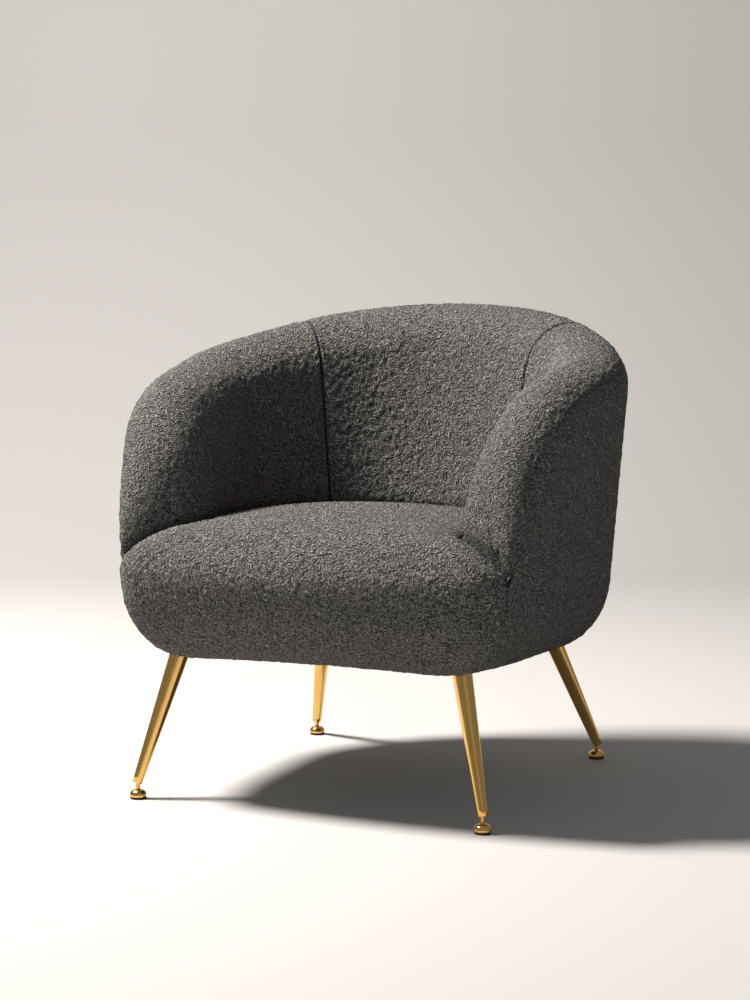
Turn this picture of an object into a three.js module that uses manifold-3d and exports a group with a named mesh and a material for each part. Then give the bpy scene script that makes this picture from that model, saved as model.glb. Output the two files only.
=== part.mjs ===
// A tub chair: a rounded barrel of upholstery on a wooden frame, on four splayed tapered brass legs.
// Millimetres, Z up, the front faces -Y. The origin is on the floor, in the middle of the chair.
import * as THREE from "three";
import { mergeVertices } from "three/addons/utils/BufferGeometryUtils.js";
import Module from "manifold-3d";

const wasm = await Module();
wasm.setup();

// Clearances and the overrun of a cutting tool
const touchGap = 0.3;
const layerGap = 0.5;
const cutOverrun = 60;

// The barrel in plan: a wide back arc, tighter rear corners, nearly straight sides, a bowed front
const halfWidth = 348;
const backDepth = 334;
const noseDepth = 333;
const armFrontDepth = 263;
const backArcRadius = 355;
const cornerArcRadius = 185;
const frontArcRadius = 1360;
const sideToe = THREE.MathUtils.degToRad(3.2);
const frontTurn = THREE.MathUtils.degToRad(15);
const frontTurnLength = 150;

// The barrel in height
const undersideHeight = 208;
const rimBackHeight = 712;
const rimSeamDrop = 28;
const armHeight = 580;
const armTipHeight = 360;
const armShoulderLength = 198;
const armShoulderPower = 2.5;
const girthHeight = 450;
const sideLean_share = 0.104;
const backLean_share = 0.035;
const hemRise = 98;
const hemTuck = 80;

// The wall of the barrel
const wallThickness = 119;
const insideArmLean_share = 0.14;
const insideBackLean_share = 0.2;
const panelSeamStation = 285;
const padThickness = 34;
const padTopThickness = 52;
const coverThickness = 5;
const boardThickness = 3;
const coverLip = 34;
const coverSeamDrop = 26;
const coverTipHeight = 330;
const coverRoll_share = 0.8;
const squareFrontHeight = 520;
const squareFrontPower = 14;

// The seat
const seatWallHeight = 389;
const seatCrown = 30;
const seatCrownDepth = 80;
const seatCrownReach = 265;
const seatCrownHalfWidth = 285;
const seatEdgeHeight = 330;
const seatEdgeRoll = 97;
const seatBorder = 26;
const seatLipThickness = 8;
const lipTopHeight = undersideHeight + seatLipThickness;

// Legs: how far in from the barrel's side and end the foot and the leg's top stand
const frontFootInset = { side: 80, end: 62 };
const frontTopInset = { side: 127, end: 103 };
const rearFootInset = { side: 105, end: 58 };
const rearTopInset = { side: 157, end: 136 };
const legTopDiameter = 28;
const legBottomDiameter = 15;
const legWall = 1;
const legEndHeight = 23;
const legHoleClearance = 0.8;
const plateRise = 25;
const plateHeight = undersideHeight + plateRise;
const plateThickness = 3;
const plateDiameter = 34;
const boltDiameter = 8;
const boltReach = 34;
const boltHeadDiameter = 13;
const boltHeadHeight = 5;
const plugLength = 17;

// The wooden frame
const railBottomHeight = plateHeight + plateThickness + touchGap;
const railBevel = 32;
const railBevelHeight = railBottomHeight + railBevel;
const railBevelSetback = 10;
const railHeight = 62;
const railTopHeight = railBottomHeight + railHeight;
const railThickness = 24;
const frameClearance = 3;
const frontJointSetback = 32;
const rearJointSetback = 204;
const ribThickness = 22;
const ribTopClearance = 0.9;
const armPostSetback = 110;
const backPostSetback = 15;
const backPostStation = panelSeamStation + backPostSetback;
const padWadding = 6;
const topRailHeight = 36;
const topRailThickness = 30;
const lowerRailRise = 4;
const blockSide = 66;
const blockHeight = 46;
const blockShift = 14;

// Springs and webbing
const springCount = 5;
const springSpacing = 67;
const springWire = 3.8;
const springHalfWidth = 20;
const springPeriod = 50;
const springArch = 11;
const springLap = 12;
const webbingCount = 3;
const webbingSpacing = 122;
const webbingWidth = 50;
const webbingThickness = 2;

// What the springs and the pads leave to the seat
const seatUndersideHeight = railTopHeight + springWire + springArch + 2 * touchGap;
const padBottomRise = 34;
const padBottomHeight = seatUndersideHeight + padBottomRise;

// Levelling feet
const footDiameter = 25;
const footPadHeight = 3;
const footPadInset = 1;
const footDomeHeight = 10;
const footDomeEdge = 2;
const footNeckDiameter = 10;
const studDiameter = 6;
const studSeatDepth = 5;
const studCrossing = 4;
const studReach = 6;

// Underside cloth
const dustClothThickness = 1;
const dustClothLap = 14;

// Fineness of the faceted surfaces
const stationStep = 56;
const stationMargin = 1.5;
const shoulderSteps = 4;
const padFaceSteps = 4;
const ringSteps = 24;
const rollSteps = 5;
const hemSteps = 3;
const riseSteps = 2;
const seamSteps = 3;
const cornerSteps = 5;
const sideSteps = 16;
const legSides = 18;
const footSides = 16;
const footDomeSteps = 4;
const springSides = 5;
const crownRing_shares = [0.75, 0.5, 0.25];

const colours = {
  boucle: 0x5b5957,
  boucleRoughness: 0.95,
  brass: 0xc9983f,
  brassRoughness: 0.22,
  wood: 0xc8a777,
  steel: 0x8d9094,
  web: 0x6d6250,
  board: 0x9a8468,
  cloth: 0x1c1c1d,
  rubber: 0x17171a,
};

const root = new THREE.Group();
const chair = new THREE.Group();
root.add(chair);

const sum = (values) => values.reduce((total, v) => total + v, 0);
const lerp = THREE.MathUtils.lerp;
const clamp = THREE.MathUtils.clamp;

// Evenly spaced values from a to b, with both ends.
function spread(a, b, steps) {
  return Array.from({ length: steps + 1 }, (_, i) => lerp(a, b, i / steps));
}

// The barrel's outline in plan, from the middle of the back to the front of the right arm.
const backSweep = Math.asin((halfWidth - cornerArcRadius) / (backArcRadius - cornerArcRadius));
const backLength = backArcRadius * backSweep;
const sideAngle = Math.PI / 2 + sideToe;
const cornerLength = cornerArcRadius * (sideAngle - backSweep);
const cornerCentre = new THREE.Vector2(
  (backArcRadius - cornerArcRadius) * Math.sin(backSweep),
  backDepth - backArcRadius + (backArcRadius - cornerArcRadius) * Math.cos(backSweep),
);
const sideStart = new THREE.Vector2(
  cornerCentre.x + cornerArcRadius * Math.sin(sideAngle),
  cornerCentre.y + cornerArcRadius * Math.cos(sideAngle),
);
const sideLength = (sideStart.y + armFrontDepth) / Math.cos(sideToe);
const armStation = backLength + cornerLength + sideLength;
const frontStation = armStation - touchGap;

// A station on the outline: its point and the angle of its outward normal from +Y towards +X.
function outlineAt(station) {
  const s = Math.abs(station);
  const hand = Math.sign(station) || 1;
  let x;
  let y;
  let angle;
  if (s <= backLength) {
    angle = s / backArcRadius;
    x = backArcRadius * Math.sin(angle);
    y = backDepth - backArcRadius + backArcRadius * Math.cos(angle);
  } else if (s <= backLength + cornerLength) {
    angle = backSweep + (s - backLength) / cornerArcRadius;
    x = cornerCentre.x + cornerArcRadius * Math.sin(angle);
    y = cornerCentre.y + cornerArcRadius * Math.cos(angle);
  } else {
    const run = s - backLength - cornerLength;
    const turning = Math.max(0, run - (sideLength - frontTurnLength)) / frontTurnLength;
    angle = sideAngle + frontTurn * turning;
    x = sideStart.x - Math.sin(sideToe) * run - (frontTurn * frontTurnLength * turning * turning) / 2;
    y = sideStart.y - Math.cos(sideToe) * run;
  }
  return { x: hand * x, y, nx: hand * Math.sin(angle), ny: Math.cos(angle) };
}

// Height of the rim of back and arms at a station.
function rimHeight(station) {
  const s = Math.abs(station);
  if (s <= panelSeamStation) return rimBackHeight - rimSeamDrop * (s / panelSeamStation) ** 2;
  const toFront = Math.max(0, armStation - s);
  const slope = lerp(armHeight, rimBackHeight - rimSeamDrop, toFront / (armStation - panelSeamStation));
  const shoulder = Math.min(1, toFront / armShoulderLength);
  const rise = (1 - (1 - shoulder) ** armShoulderPower) ** (1 / armShoulderPower);
  return lerp(armTipHeight, slope, rise);
}

const rimSamples = spread(0, armStation, 160).map((s) => [s, rimHeight(s)]);

// Distance from a place on the wall's middle sheet to the sheet's rounded edge.
function edgeDistance(station, z) {
  const s = Math.abs(station);
  let best = z < armTipHeight ? armStation - s : Infinity;
  for (const [rs, rz] of rimSamples) best = Math.min(best, Math.hypot(s - rs, z - rz));
  return Math.max(0, best);
}

// Half the wall's thickness there: a full roll along the edge, of the given squareness.
function halfThickness(station, z, power) {
  const half = wallThickness / 2;
  const inFromEdge = clamp(1 - edgeDistance(station, z) / half, 0, 1);
  return half * (1 - inFromEdge ** power) ** (1 / power);
}

// How far the outer face stands out at a height: the lean and the rounded hem.
function faceLean(normalY, z) {
  const back = Math.max(0, normalY);
  const share = lerp(sideLean_share, backLean_share, back);
  const inHem = clamp((undersideHeight + hemRise - z) / hemRise, 0, 1);
  return share * (z - girthHeight) - hemTuck * (1 - Math.sqrt(1 - inHem * inHem));
}

// The front end of the arm is squarer on its outer side towards the tip, where it meets the side seam.
function outerPower(z) {
  const down = clamp((squareFrontHeight - z) / (squareFrontHeight - coverTipHeight), 0, 1);
  return 2 + squareFrontPower * down ** 3;
}

function outerOffset(station, z) {
  const { ny } = outlineAt(station);
  return halfThickness(station, z, outerPower(z)) - wallThickness / 2 + faceLean(ny, z);
}

function innerOffset(station, z) {
  const { ny } = outlineAt(station);
  const back = Math.max(0, ny);
  const rim = rimHeight(station);
  const lean = lerp(insideArmLean_share, insideBackLean_share, back);
  return faceLean(ny, rim) - wallThickness / 2 - halfThickness(station, z, 2) - lean * Math.max(0, rim - z);
}

// A point of the barrel: a station, an offset outwards from the outline, and a height.
function barrelPoint(station, offset, z) {
  const o = outlineAt(station);
  return new THREE.Vector3(o.x + o.nx * offset, o.y + o.ny * offset, z);
}

// A closed body through loops of equally many points; its ends are closed by joining each loop's two halves.
function loft(loops, endless = false) {
  const n = loops[0].length;
  const points = loops.flat();
  const faces = [];
  const quad = (a, b, c, d) => faces.push(a, b, c, a, c, d);
  const spans = endless ? loops.length : loops.length - 1;
  for (let i = 0; i < spans; i++) {
    const here = i * n;
    const next = ((i + 1) % loops.length) * n;
    for (let j = 0; j < n; j++) {
      const k = (j + 1) % n;
      const across = points[here + j].distanceTo(points[next + k]);
      if (across <= points[here + k].distanceTo(points[next + j])) quad(here + j, here + k, next + k, next + j);
      else quad(here + k, next + k, next + j, here + j);
    }
  }
  const last = (loops.length - 1) * n;
  for (let j = 0; !endless && j < Math.floor(n / 2); j++) {
    const k = n - 1 - j;
    if (k - j < 2) break;
    quad(j, k, k - 1, j + 1);
    quad(last + j, last + j + 1, last + k - 1, last + k);
  }
  const geometry = new THREE.BufferGeometry();
  geometry.setAttribute("position", new THREE.Float32BufferAttribute(points.flatMap((p) => p.toArray()), 3));
  geometry.setIndex(faces);
  return faceOut(geometry);
}

// Turns a closed body's faces outwards.
function faceOut(geometry) {
  const p = geometry.getAttribute("position");
  const index = geometry.index.array;
  const corner = (i) => new THREE.Vector3().fromBufferAttribute(p, index[i]);
  let volume = 0;
  for (let i = 0; i < index.length; i += 3) volume += corner(i).dot(corner(i + 1).cross(corner(i + 2)));
  if (volume < 0) {
    for (let i = 0; i < index.length; i += 3) [index[i + 1], index[i + 2]] = [index[i + 2], index[i + 1]];
  }
  return geometry;
}

// A copy of a geometry with its points only.
function bareGeometry(geometry) {
  const bare = geometry.clone();
  bare.deleteAttribute("normal");
  bare.deleteAttribute("uv");
  return bare;
}

function solidFrom(geometry) {
  const merged = mergeVertices(bareGeometry(geometry), 1e-3);
  return new wasm.Manifold(
    new wasm.Mesh({
      numProp: 3,
      vertProperties: merged.attributes.position.array,
      triVerts: new Uint32Array(merged.index.array),
    }),
  );
}

function geometryFrom(solid) {
  const mesh = solid.getMesh();
  const geometry = new THREE.BufferGeometry();
  geometry.setAttribute("position", new THREE.BufferAttribute(mesh.vertProperties, 3));
  geometry.setIndex(new THREE.BufferAttribute(mesh.triVerts, 1));
  return geometry;
}

// A loop in a station's own upright plane, from lists of outer and inner [offset, height] pairs.
function wallLoop(station, outer, inner) {
  return [...outer, ...inner].map(([offset, z]) => barrelPoint(station, offset, z));
}

// The barrel's own stations: evenly spaced, and closer together round the arms' fronts.
function barrelStations() {
  const roll = spread(0, Math.PI / 2, rollSteps + 1).map((a) => (wallThickness / 2) * (1 - Math.cos(a)));
  const shoulder = spread(wallThickness / 2, armShoulderLength, shoulderSteps).slice(1);
  const front = [...roll, ...shoulder].map((toFront) => armStation - toFront);
  const plain = armStation - armShoulderLength;
  const even = spread(0, plain, Math.ceil(plain / stationStep)).slice(0, -1);
  const right = [...even, ...front.reverse()];
  return [...right.slice(1).map((s) => -s).reverse(), ...right];
}

// The stations between two limits, with the limits themselves.
function stationsBetween(from, to) {
  const within = barrelStations().filter((s) => s > from + stationMargin && s < to - stationMargin);
  return [from, ...within, to];
}

// Heights from the rim's top down its roll, then evenly to the bottom.
function rollHeights(top, bottom, steps) {
  const drop = Math.min(wallThickness / 2, (top - bottom) / 2);
  const roll = spread(0, Math.PI / 2, rollSteps).map((a) => top - drop * (1 - Math.cos(a)));
  return [...roll, ...spread(top - drop, bottom, steps).slice(1)];
}

// The wall's whole thickness, from its rim down to a height.
function wallBlank() {
  const loops = stationsBetween(-frontStation, frontStation).map((s) => {
    const heights = rollHeights(rimHeight(s), padBottomHeight, padFaceSteps);
    const outer = heights.map((z) => [outerOffset(s, z), z]).reverse();
    const inner = heights.slice(1).map((z) => [innerOffset(s, z), z]);
    return wallLoop(s, outer, inner);
  });
  return solidFrom(loft(loops));
}

// Height of the hollow's top at a station: it falls away before the arms' fronts.
function hollowTop(station) {
  const s = Math.abs(station);
  const ahead = s > panelSeamStation ? padTopThickness : 0;
  return Math.max(rimHeight(s + ahead) - padTopThickness, padBottomHeight);
}

// The hollow in the wall that holds the frame.
function wallHollow() {
  const setback = padTopThickness;
  const front = armStation - setback;
  const loops = stationsBetween(-front, front).map((s) => {
    const heights = [padBottomHeight - cutOverrun, hollowTop(s)];
    const outer = heights.map((z) => [faceLean(outlineAt(s).ny, z) + cutOverrun, z]);
    const inner = heights.map((z) => [hollowInner(s, z), z]).reverse();
    return wallLoop(s, outer, inner);
  });
  return solidFrom(loft(loops));
}

// The frame's side of the inside pads.
function hollowInner(station, z) {
  const { ny } = outlineAt(station);
  const rim = rimHeight(station);
  const lean = lerp(insideArmLean_share, insideBackLean_share, Math.max(0, ny));
  return faceLean(ny, rim) - wallThickness + padThickness - lean * Math.max(0, rim - z);
}

// Height below the rim at which a place on the wall is the seam's depth in from the rim.
function seamUnderRim(station) {
  let z = rimHeight(station) - coverSeamDrop;
  while (edgeDistance(station, z) < coverSeamDrop) z -= touchGap;
  return z;
}

// Height of the seam that joins the outside cover to the inside pads: near the front it falls to the tip.
function coverTop(station) {
  const toFront = armStation - Math.abs(station);
  const share = clamp(toFront / (2 * coverSeamDrop), 0, 1);
  return lerp(coverTipHeight, seamUnderRim(Math.min(Math.abs(station), armStation - 2 * coverSeamDrop)), share);
}

// Moves a profile of [offset, height] points inwards by a depth, square to the profile.
function insetProfile(profile, depth) {
  const last = profile.length - 1;
  return profile.map(([offset, z], i) => {
    const [offsetBefore, zBefore] = profile[Math.max(0, i - 1)];
    const [offsetAfter, zAfter] = profile[Math.min(last, i + 1)];
    const run = Math.hypot(offsetAfter - offsetBefore, zAfter - zBefore);
    return [offset - (depth * (zAfter - zBefore)) / run, z + (depth * (offsetAfter - offsetBefore)) / run];
  });
}

// A layer that follows the barrel's outside, from its lip under the hem up to the cover's seam.
function outsideLayer(depthOut, depthIn, grow) {
  const loops = stationsBetween(-frontStation, frontStation).map((s) => {
    const { ny } = outlineAt(s);
    const top = coverTop(s);
    const rollStart = lerp(undersideHeight + hemRise, top, coverRoll_share);
    const hem = spread(Math.PI / 2, 0, hemSteps).map((a) => undersideHeight + hemRise * (1 - Math.sin(a)));
    const plain = spread(undersideHeight + hemRise, rollStart, riseSteps);
    const rise = [...plain, ...spread(rollStart, top, seamSteps).slice(1)];
    const lip = [faceLean(ny, undersideHeight) - coverLip, undersideHeight];
    const profile = [lip, ...[...hem, ...rise.slice(1)].map((z) => [outerOffset(s, z), z])];
    const raise = ([offset, z], i) => [offset, i === profile.length - 1 ? z + grow : z];
    return wallLoop(
      s,
      insetProfile(profile, depthOut).map(raise),
      insetProfile(profile, depthIn).map(raise).reverse(),
    );
  });
  return loft(loops);
}

// The outline's bowed front and its corners, right half, from the arm's front to the middle.
// Its points lean inwards along directions that turn evenly, so that a deep hem doesn't fold at the corners.
function frontOutline() {
  const start = outlineAt(armStation);
  const centre = new THREE.Vector2(0, frontArcRadius - noseDepth);
  const away = new THREE.Vector2(start.x - centre.x, start.y - centre.y);
  const normal = new THREE.Vector2(start.nx, start.ny);
  const radius = (frontArcRadius ** 2 - away.lengthSq()) / (2 * (frontArcRadius - away.dot(normal)));
  const hub = new THREE.Vector2(start.x, start.y).addScaledVector(normal, -radius);
  const from = Math.atan2(normal.y, normal.x);
  const to = Math.atan2(hub.y - centre.y, hub.x);
  const arc = (middle, size, a) => ({ x: middle.x + size * Math.cos(a), y: middle.y + size * Math.sin(a) });
  const corner = spread(from, to, cornerSteps).map((a) => arc(hub, radius, a));
  const bow = spread(to, -Math.PI / 2, cornerSteps).map((a) => arc(centre, frontArcRadius, a));
  const path = [...corner, ...bow.slice(1)];
  const runs = path.map((p, i) => (i ? Math.hypot(p.x - path[i - 1].x, p.y - path[i - 1].y) : 0));
  const whole = sum(runs);
  return path.map((p, i) => {
    const a = lerp(from, -Math.PI / 2, sum(runs.slice(0, i + 1)) / whole);
    return { ...p, nx: Math.cos(a), ny: Math.sin(a) };
  }).slice(1);
}

// The whole closed outline, anticlockwise from the middle of the back, as points with normals.
function closedOutline() {
  const side = spread(0, armStation, sideSteps).map((s) => outlineAt(s));
  const right = [...side, ...frontOutline()];
  const left = right.slice(1, -1).map((p) => ({ ...p, x: -p.x, nx: -p.nx }));
  return [...right, ...left.reverse()];
}

// The seat's crowned height, before its edge rolls down.
function seatHeight(x, y) {
  const across = 1 - (x / seatCrownHalfWidth) ** 2;
  const along = 1 - ((y + seatCrownDepth) / seatCrownReach) ** 2;
  return seatWallHeight + seatCrown * Math.max(0, across) * Math.max(0, along);
}

// A closed body on the outline: rings of [offset from the outline, height of a point].
function puck(rings, topCentre, bottomCentre) {
  const outline = closedOutline();
  const n = outline.length;
  const points = rings.flatMap((ring) => outline.map((p) => ring(p)));
  points.push(bottomCentre, topCentre);
  const faces = [];
  for (let i = 0; i < rings.length - 1; i++) {
    for (let j = 0; j < n; j++) {
      const k = (j + 1) % n;
      faces.push(i * n + j, i * n + k, (i + 1) * n + k);
      faces.push(i * n + j, (i + 1) * n + k, (i + 1) * n + j);
    }
  }
  const top = (rings.length - 1) * n;
  for (let j = 0; j < n; j++) {
    const k = (j + 1) % n;
    faces.push(rings.length * n, k, j);
    faces.push(rings.length * n + 1, top + j, top + k);
  }
  const geometry = new THREE.BufferGeometry();
  geometry.setAttribute("position", new THREE.Float32BufferAttribute(points.flatMap((p) => p.toArray()), 3));
  geometry.setIndex(faces);
  return faceOut(geometry);
}

const offsetPoint = (p, offset, z) => new THREE.Vector3(p.x + p.nx * offset, p.y + p.ny * offset, z);

// The seat with its front, on the whole outline: hem, side, rolled edge and crown.
function seatBlank() {
  const hem = spread(Math.PI / 2, 0, hemSteps).map((a) => undersideHeight + hemRise * (1 - Math.sin(a)));
  const lower = [...hem, seatEdgeHeight].map((z) => (p) => offsetPoint(p, faceLean(p.ny, z), z));
  const rolled = spread(0, Math.PI / 2, rollSteps).slice(1).map((a) => (p) => {
    const lean = faceLean(p.ny, seatEdgeHeight);
    const q = offsetPoint(p, lean - seatEdgeRoll * (1 - Math.cos(a)), 0);
    q.z = lerp(seatEdgeHeight, seatHeight(q.x, q.y), Math.sin(a));
    return q;
  });
  const crown = crownRing_shares.map((share) => (p) => {
    const q = offsetPoint(p, faceLean(p.ny, seatEdgeHeight) - seatEdgeRoll, 0);
    q.x *= share;
    q.y = lerp(-seatCrownDepth, q.y, share);
    q.z = seatHeight(q.x, q.y);
    return q;
  });
  const top = new THREE.Vector3(0, -seatCrownDepth, seatHeight(0, -seatCrownDepth));
  const bottom = new THREE.Vector3(0, 0, undersideHeight);
  return solidFrom(puck([...lower, ...rolled, ...crown], top, bottom));
}

// Depth of the seat's border, and of the shell beside it, at a height.
function borderDepth(z) {
  const rise = clamp((z - lipTopHeight) / (seatUndersideHeight - lipTopHeight), 0, 1);
  return lerp(coverThickness + boardThickness, seatBorder, rise);
}

// The room under the seat for rails, springs and corner blocks, open below.
function seatHollow() {
  const lip = hemTuck + coverLip;
  const heights = spread(lipTopHeight, seatUndersideHeight, hemSteps);
  const rings = [
    (p) => offsetPoint(p, faceLean(p.ny, undersideHeight + hemRise) - lip, undersideHeight - cutOverrun),
    (p) => offsetPoint(p, faceLean(p.ny, undersideHeight + hemRise) - lip, lipTopHeight),
    ...heights.map((z) => (p) => offsetPoint(p, faceLean(p.ny, z) - borderDepth(z), z)),
  ];
  const top = new THREE.Vector3(0, 0, seatUndersideHeight);
  const bottom = new THREE.Vector3(0, 0, undersideHeight - cutOverrun);
  return solidFrom(puck(rings, top, bottom));
}

// What the seat leaves to the wall behind the arms' fronts: the cover's lip low down, the inside face above.
function wallZone() {
  const low = undersideHeight - cutOverrun;
  const step = seatUndersideHeight - touchGap;
  const stations = [-armStation, ...stationsBetween(-frontStation, frontStation), armStation];
  const loops = stations.map((station) => {
    const s = clamp(station, -frontStation, frontStation);
    const hem = faceLean(outlineAt(s).ny, undersideHeight) - coverLip - touchGap;
    const face = (z) => [innerOffset(s, z) - touchGap, z];
    const faces = rollHeights(rimHeight(s), padBottomHeight, padFaceSteps).map(face).reverse();
    const ledge = [[hem, low], [hem, step - touchGap], [faces[0][0], step]];
    const inner = [...ledge, ...faces];
    return wallLoop(station, inner.map(([, z]) => [cutOverrun, z]), inner.reverse());
  });
  return solidFrom(loft(loops));
}

// A wedge of the plan between two stations' upright planes, for parting the pads at their seams.
function stationWedge(from, to) {
  const loops = stationsBetween(from, to).map((s) => {
    const low = padBottomHeight - cutOverrun;
    const high = rimBackHeight + cutOverrun;
    const reach = wallThickness + 2 * cutOverrun;
    return wallLoop(s, [[cutOverrun, low], [cutOverrun, high]], [[-reach, high], [-reach, low]]);
  });
  return solidFrom(loft(loops));
}

function addMesh(name, geometry, colour, roughness, metalness) {
  const material = new THREE.MeshStandardMaterial({ color: colour, roughness, metalness });
  const mesh = new THREE.Mesh(geometry, material);
  mesh.name = name;
  chair.add(mesh);
  return mesh;
}

const addFabric = (name, geometry) => addMesh(name, geometry, colours.boucle, colours.boucleRoughness, 0);
const addWood = (name, geometry) => addMesh(name, geometry, colours.wood, 0.75, 0);
const addBrass = (name, geometry) => addMesh(name, geometry, colours.brass, colours.brassRoughness, 1);
const addSteel = (name, geometry) => addMesh(name, geometry, colours.steel, 0.4, 1);

// The soft covers
function makeUpholstery(legHoles) {
  const shellDepth = coverThickness + boardThickness + 2 * layerGap;
  const boardDepth = coverThickness + layerGap;
  const coverLayer = solidFrom(outsideLayer(0, coverThickness, 0));
  const boardLayer = solidFrom(outsideLayer(boardDepth, boardDepth + boardThickness, 0));
  const cut = (solid) => legHoles.reduce((left, hole) => left.subtract(hole), solid);
  addFabric("outside_cover", geometryFrom(cut(coverLayer)));
  addMesh("barrel_board", geometryFrom(cut(boardLayer)), colours.board, 0.9, 0);

  const outsideRoom = solidFrom(outsideLayer(-cutOverrun, shellDepth, layerGap));
  const pads = wallBlank().subtract(wallHollow()).subtract(outsideRoom);
  const half = touchGap / 2;
  const panels = {
    inside_arm_left: [-armStation - touchGap, -panelSeamStation - half],
    inside_back: [-panelSeamStation + half, panelSeamStation - half],
    inside_arm_right: [panelSeamStation + half, armStation + touchGap],
  };
  for (const [name, [from, to]] of Object.entries(panels)) {
    addFabric(name, geometryFrom(pads.intersect(stationWedge(from, to))));
  }
  const seat = seatBlank().subtract(seatHollow()).subtract(wallZone());
  addFabric("seat", geometryFrom(cut(seat)));
}

// A box between two corners.
function boxSolid(from, to) {
  const size = new THREE.Vector3().subVectors(to, from);
  const middle = new THREE.Vector3().addVectors(to, from).multiplyScalar(0.5);
  const box = new THREE.BoxGeometry(size.x, size.y, size.z);
  return solidFrom(box.translate(middle.x, middle.y, middle.z));
}

// A turned body: a profile of [radius, height] points about an upright axis at a place in plan.
function turned(profile, sides, x, y) {
  const lathe = new THREE.LatheGeometry(profile.map(([r, z]) => new THREE.Vector2(r, z)), sides);
  return faceOut(mergeVertices(bareGeometry(lathe.rotateX(Math.PI / 2).translate(x, y, 0)), 1e-3));
}

// The frame's outer face in plan at a height, clear of the shell and of the seat's border.
const frameFace = (p, z) => faceLean(p.ny, z) - borderDepth(z) - frameClearance;
const railInside = (p) => frameFace(p, railBevelHeight) - railThickness;

// The four seat rails are one ring, planed off below to follow the hem, and parted at four joints.
function makeRails() {
  const outer = [
    (p) => offsetPoint(p, frameFace(p, railBottomHeight) - railBevelSetback, railBottomHeight),
    (p) => offsetPoint(p, frameFace(p, railBevelHeight), railBevelHeight),
    (p) => offsetPoint(p, frameFace(p, railBevelHeight), railTopHeight),
  ];
  const top = new THREE.Vector3(0, 0, railTopHeight);
  const bottom = new THREE.Vector3(0, 0, railBottomHeight);
  const ring = solidFrom(puck(outer, top, bottom)).subtract(insideRails(0));
  const half = touchGap / 2;
  const frontJoint = frontJointSetback - armFrontDepth;
  const rearJoint = backDepth - rearJointSetback;
  const between = ring.trimByPlane([0, 1, 0], frontJoint + half).trimByPlane([0, -1, 0], half - rearJoint);
  addWood("front_rail", geometryFrom(ring.trimByPlane([0, -1, 0], half - frontJoint)));
  addWood("rear_rail", geometryFrom(ring.trimByPlane([0, 1, 0], rearJoint + half)));
  addWood("side_rail_left", geometryFrom(between.trimByPlane([-1, 0, 0], 0)));
  addWood("side_rail_right", geometryFrom(between.trimByPlane([1, 0, 0], 0)));
}

// The room inside the rails, held off them by a gap.
function insideRails(gap) {
  const low = railBottomHeight - cutOverrun;
  const high = railTopHeight + cutOverrun;
  const rings = [low, high].map((z) => (p) => offsetPoint(p, railInside(p) - gap, z));
  return solidFrom(puck(rings, new THREE.Vector3(0, 0, high), new THREE.Vector3(0, 0, low)));
}

// A rail or band in the hollow that hugs the pads' frame side between two stations and two heights.
function hugging(from, to, clearance, thickness, bottomAt, topAt) {
  const section = (s) => {
    const inner = [bottomAt(s), topAt(s)].map((z) => [hollowInner(s, z) + clearance, z]);
    const outer = inner.map(([offset, z]) => [offset + thickness, z]);
    return wallLoop(s, outer, inner.reverse());
  };
  return loft(stationsBetween(from, to).map((s) => facetLoop(s, section)));
}

// A loop at any station as the barrel's facets have it, straight between the loops at its own stations.
function facetLoop(station, loopAt) {
  const stations = barrelStations();
  const next = Math.max(1, stations.findIndex((s) => s >= station));
  const share = (station - stations[next - 1]) / (stations[next] - stations[next - 1]);
  const after = loopAt(stations[next]);
  return loopAt(stations[next - 1]).map((p, i) => p.clone().lerp(after[i], share));
}

// The wall's ribs, rails and bands
function makeWallFrame() {
  const railTop = (s) => hollowTop(s) - padWadding;
  const railBottom = (s) => railTop(s) - topRailHeight;
  const behindBands = webbingThickness + 2 * touchGap;
  const armPostStation = armStation - armPostSetback;
  const join = touchGap / 2;
  const sides = { left: -1, right: 1 };
  for (const [side, hand] of Object.entries(sides)) {
    const arm = [backPostStation + join, armPostStation + ribThickness / 2].map((s) => s * hand);
    const [from, to] = arm.sort((a, b) => a - b);
    addWood("arm_rail_" + side, hugging(from, to, touchGap, topRailThickness, railBottom, railTop));
    addWood("arm_post_" + side, rib(hand * armPostStation, (s) => railBottom(s) - ribTopClearance));
    addWood("back_post_" + side, rib(hand * backPostStation, (s) => railBottom(s) - ribTopClearance));
  }
  const reach = backPostStation - join;
  addWood("back_top_rail", hugging(-reach, reach, behindBands, topRailThickness, railBottom, railTop));
  const lowerReach = backPostStation - ribThickness / 2 - touchGap;
  const lowerBottom = padBottomHeight + lowerRailRise;
  const lowerTop = lowerBottom + topRailHeight;
  const lowerRail = hugging(-lowerReach, lowerReach, behindBands, topRailThickness, () => lowerBottom, () => lowerTop);
  addWood("back_lower_rail", lowerRail);
  for (let i = 0; i < webbingCount; i++) {
    const middle = (i - (webbingCount - 1) / 2) * webbingSpacing;
    const ends = [middle - webbingWidth / 2, middle + webbingWidth / 2];
    const band = hugging(...ends, touchGap, webbingThickness, () => lowerBottom, railTop);
    addMesh("webbing_" + (i + 1), band, colours.web, 0.9, 0);
  }
}

// An upright rib on the seat rails, from the shell's inside to the pads' frame side.
function rib(station, topAt) {
  const shellDepth = coverThickness + boardThickness + 2 * layerGap;
  const section = (s) => {
    const { ny } = outlineAt(s);
    const heights = [railTopHeight + touchGap, undersideHeight + hemRise, topAt(s)];
    const outer = heights.map((z) => [faceLean(ny, z) - shellDepth - frameClearance, z]);
    const inner = heights.map((z) => [hollowInner(s, z) + touchGap, z]).reverse();
    return wallLoop(s, outer, inner);
  };
  const sides = stationsBetween(station - ribThickness / 2, station + ribThickness / 2);
  return loft(sides.map((s) => facetLoop(s, section)));
}

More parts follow.
